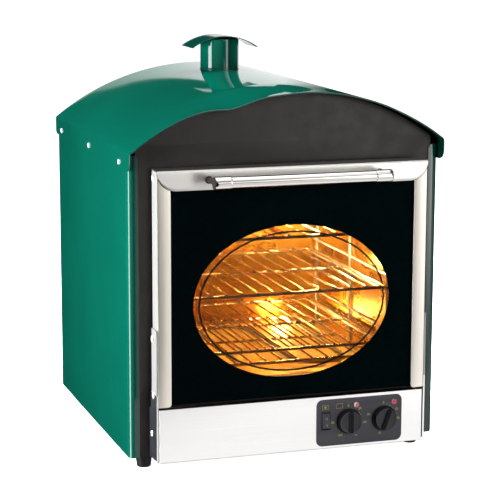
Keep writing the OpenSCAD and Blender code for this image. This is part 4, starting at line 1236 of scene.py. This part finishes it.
# ------------------------------------------------------------------ stage, light and camera
def backdrop():
    me = bpy.data.meshes.new("studio_sweep")
    w, rows = 9.0, []
    prof = [(-7.0, 0.0), (3.5, 0.0)] + [(3.5 + 2.0 * math.sin(math.radians(a)), 2.0 - 2.0 * math.cos(math.radians(a))) for a in range(10, 91, 10)] + [(5.5, 8.0)]
    vs, fs = [], []
    for i, (y, z) in enumerate(prof):
        vs += [(-w, y, z), (w, y, z)]
        if i:
            fs.append((2 * i - 2, 2 * i - 1, 2 * i + 1, 2 * i))
    me.from_pydata(vs, [], fs)
    for p in me.polygons:
        p.use_smooth = True
    t = NT("studio_paper")
    t.set(Roughness=0.9, Emission_Strength=0.95)
    f = t.noise(s=3, detail=2)
    t.to("Base Color", t.mix(t.rng(f, 0.3, 0.7), (0.90, 0.90, 0.90), (0.93, 0.93, 0.93)))
    t.b.inputs["Emission Color"].default_value = (1, 1, 1, 1)
    me.materials.append(t.m)
    o = bpy.data.objects.new("studio_sweep", me)
    scene.collection.objects.link(o)
    o.visible_glossy = o.visible_diffuse = False
    return o


backdrop()


def world():
    """A painted studio: soft bright panels in a dim room, by direction."""
    w = bpy.data.worlds.new("studio")
    scene.world = w
    w.use_nodes = True
    t = w.node_tree
    t.nodes.clear()
    out = t.nodes.new("ShaderNodeOutputWorld")
    bg = t.nodes.new("ShaderNodeBackground")
    t.links.new(bg.outputs[0], out.inputs[0])
    tc = t.nodes.new("ShaderNodeTexCoord")
    sep = t.nodes.new("ShaderNodeSeparateXYZ")
    t.links.new(tc.outputs["Generated"], sep.inputs[0])

    def mth(op, a, b=None, c=None):
        n = t.nodes.new("ShaderNodeMath")
        n.operation = op
        for i, v in enumerate((a, b, c)):
            if v is None:
                continue
            if isinstance(v, (int, float)):
                n.inputs[i].default_value = v
            else:
                t.links.new(v, n.inputs[i])
        return n.outputs[0]

    az = mth("ARCTAN2", sep.outputs["X"], sep.outputs["Y"])      # 0 to the back, + to the right
    el = mth("ARCSINE", sep.outputs["Z"])

    def window(v, lo, hi, soft):
        """1 between lo and hi (degrees), falling off over soft degrees."""
        lo, hi, soft = map(math.radians, (lo, hi, soft))
        a = t.nodes.new("ShaderNodeMapRange"); a.interpolation_type = "SMOOTHSTEP"
        a.inputs["From Min"].default_value = lo - soft; a.inputs["From Max"].default_value = lo
        t.links.new(v, a.inputs["Value"])
        b = t.nodes.new("ShaderNodeMapRange"); b.interpolation_type = "SMOOTHSTEP"
        b.inputs["From Min"].default_value = hi; b.inputs["From Max"].default_value = hi + soft
        b.inputs["To Min"].default_value = 1.0; b.inputs["To Max"].default_value = 0.0
        t.links.new(v, b.inputs["Value"])
        return mth("MULTIPLY", a.outputs["Result"], b.outputs["Result"])

    total = mth("ADD", ROOM, 0.0)
    for (a0, a1, asoft, e0, e1, esoft, val) in PANELS:
        p = mth("MULTIPLY", window(az, a0, a1, asoft), window(el, e0, e1, esoft))
        total = mth("MULTIPLY_ADD", p, val, total)
    comb = t.nodes.new("ShaderNodeCombineColor")
    for i in range(3):
        t.links.new(total, comb.inputs[i])
    t.links.new(comb.outputs[0], bg.inputs["Color"])
    w.cycles_visibility.diffuse = False


ROOM = 0.004
# azimuth from the back towards the right, elevation: from, to, softness; brightness
PANELS = [
    (-114, -94, 2, -32, 1, 3, 11.0),       # low soft box on the left
    (157, 170, 3, 2, 19, 3, 1.25),           # white card in front, level with the handle
    (149, 153, 8, -8, 24, 6, 4.0),         # white card in front, to the right
    (110, 175, 12, 26, 39, 4, 0.35),       # the dimmer wall above it
    (135, 175, 8, 44, 66, 4, 1.25),        # and the edge of the ceiling
    (110, 164, 6, -89, -10, 5, 0.84),      # pale floor in front
    (-172, -128, 8, -10, 30, 10, 0.10),    # faint fill in front, to the left
    (-180, 180, 1, 66, 90, 6, 1.4),        # overhead
    (0, 60, 14, 56, 66, 5, 1.4),           # and behind
    (60, 120, 15, -30, 40, 15, 0.03),      # dim wall on the right
]
world()


def card(name, corners, strength, fade=None, end=None):
    """A paper card, standing or lying, seen only in reflections."""
    me = bpy.data.meshes.new(name)
    me.from_pydata(corners, [], [tuple(range(len(corners)))])
    t = NT(name)
    t.set(Roughness=0.9, Emission_Strength=strength)
    f = t.noise(s=2, detail=2)
    t.to("Base Color", t.mix(t.rng(f, 0.3, 0.7), (0.02, 0.02, 0.02), (0.03, 0.03, 0.03)))
    t.b.inputs["Emission Color"].default_value = (1, 1, 1, 1)
    if fade:
        sep = t.n("ShaderNodeSeparateXYZ")
        t.link(t.n("ShaderNodeNewGeometry").outputs["Position"], sep.inputs[0])
        e = t.rng(sep.outputs[0], fade[0], fade[1], strength * fade[2], strength)
        t.to("Emission Strength", t.math("MULTIPLY", e, t.rng(sep.outputs[0], end[0], end[1], 1.0, 0.02)))
    me.materials.append(t.m)
    o = bpy.data.objects.new(name, me)
    scene.collection.objects.link(o)
    o.visible_camera = o.visible_diffuse = o.visible_transmission = o.visible_shadow = False


card("studio_card_table", [(-0.215, -0.222, 0.001), (0.8, -0.222, 0.001), (0.8, -0.54, 0.001), (-0.215, -0.54, 0.001)], 1.02)
card("studio_card_back_right", [(0.70, 1.2, -0.3), (1.7, 1.2, -0.3), (1.7, 1.2, 0.85), (0.70, 1.2, 0.85)], 0.90)
card("studio_card_back", [(-0.185, 1.2, -0.3), (0.60, 1.2, -0.3), (0.60, 1.2, 0.70), (0.47, 1.2, 0.78), (0.45, 1.2, 0.95), (0.37, 1.2, 0.93),
                          (0.32, 1.2, 0.755), (0.19, 1.2, 0.748), (-0.015, 1.2, 0.748), (-0.07, 1.2, 0.741), (-0.185, 1.2, 0.705)], 0.92, (-0.15, 0.30, 0.30), (0.49, 0.60))


def area(name, loc, target, size, power, color=(1, 1, 1), glossy=False, size_y=None):
    d = bpy.data.lights.new(name, "AREA")
    d.energy = power
    d.color = color
    d.shape = "RECTANGLE"
    d.size = size
    d.size_y = size_y or size
    o = bpy.data.objects.new(name, d)
    scene.collection.objects.link(o)
    o.location = loc
    o.rotation_mode = "QUATERNION"
    o.rotation_quaternion = (Vector(target) - Vector(loc)).to_track_quat("-Z", "Y")
    o.visible_glossy = glossy
    return o


area("key_left", (-0.98, -0.18, 0.32), (-0.22, -0.16, 0.28), 0.2, 28, size_y=0.6)
area("front_fill", (0.5, -2.6, 0.9), (0, 0, 0.25), 1.6, 17)
area("right_fill", (1.3, 0.30, 0.25), (0.22, 0.24, 0.22), 0.3, 24, size_y=0.4)
area("top_soft", (0.3, 0.7, 2.4), (0, 0.15, 0.4), 1.6, 160)

WARM = (1.0, 0.46, 0.10)


def glow(name, x, y, z, power, radius=12.0, color=WARM):
    d = bpy.data.lights.new(name, "POINT")
    d.energy = power
    d.color = color
    d.shadow_soft_size = radius / 1000.0
    o = bpy.data.objects.new(name, d)
    scene.collection.objects.link(o)
    o.location = V(x, y, z)
    return o


glow("oven_lamp_l", -85, 75, 367.5, 1.0, color=(1.0, 0.40, 0.10))
glow("oven_lamp_r", 85, 75, 367.5, 3.0, color=(1.0, 0.56, 0.18))
glow("oven_glow_top", -10, 290, 356, 7.5, 18, (1.0, 0.66, 0.20))
glow("oven_glow_back_r", 128, 240, 345, 9.0, 14, (1.0, 0.78, 0.34))
glow("oven_glow_low", 100, 310, 128, 1.2, 16, (1.0, 0.66, 0.20))
glow("oven_glow_right", 128, 130, 250, 0.8, 12, (1.0, 0.74, 0.32))

cam_data = bpy.data.cameras.new("camera")
cam = bpy.data.objects.new("camera", cam_data)
scene.collection.objects.link(cam)
AZ, PIT, ROLL = math.radians(18.17), math.radians(10.67), math.radians(0.2)
fwd = Vector((math.sin(AZ) * math.cos(PIT), math.cos(AZ) * math.cos(PIT), -math.sin(PIT)))
right = fwd.cross(Vector((0, 0, 1))).normalized()
up = right.cross(fwd)
r2 = right * math.cos(ROLL) + up * math.sin(ROLL)
u2 = up * math.cos(ROLL) - right * math.sin(ROLL)
cam.matrix_world = Matrix((
    (r2.x, u2.x, -fwd.x, -0.8356),
    (r2.y, u2.y, -fwd.y, -2.3865 - YM / 1000.0),
    (r2.z, u2.z, -fwd.z, 0.7548 + ZB / 1000.0),
    (0, 0, 0, 1)))
cam_data.sensor_width = 36.0
cam_data.lens = 1866.0 / 500.0 * 36.0
cam_data.clip_end = 50.0
scene.camera = cam
scene.view_settings.view_transform = "Standard"
scene.view_settings.look = "None"
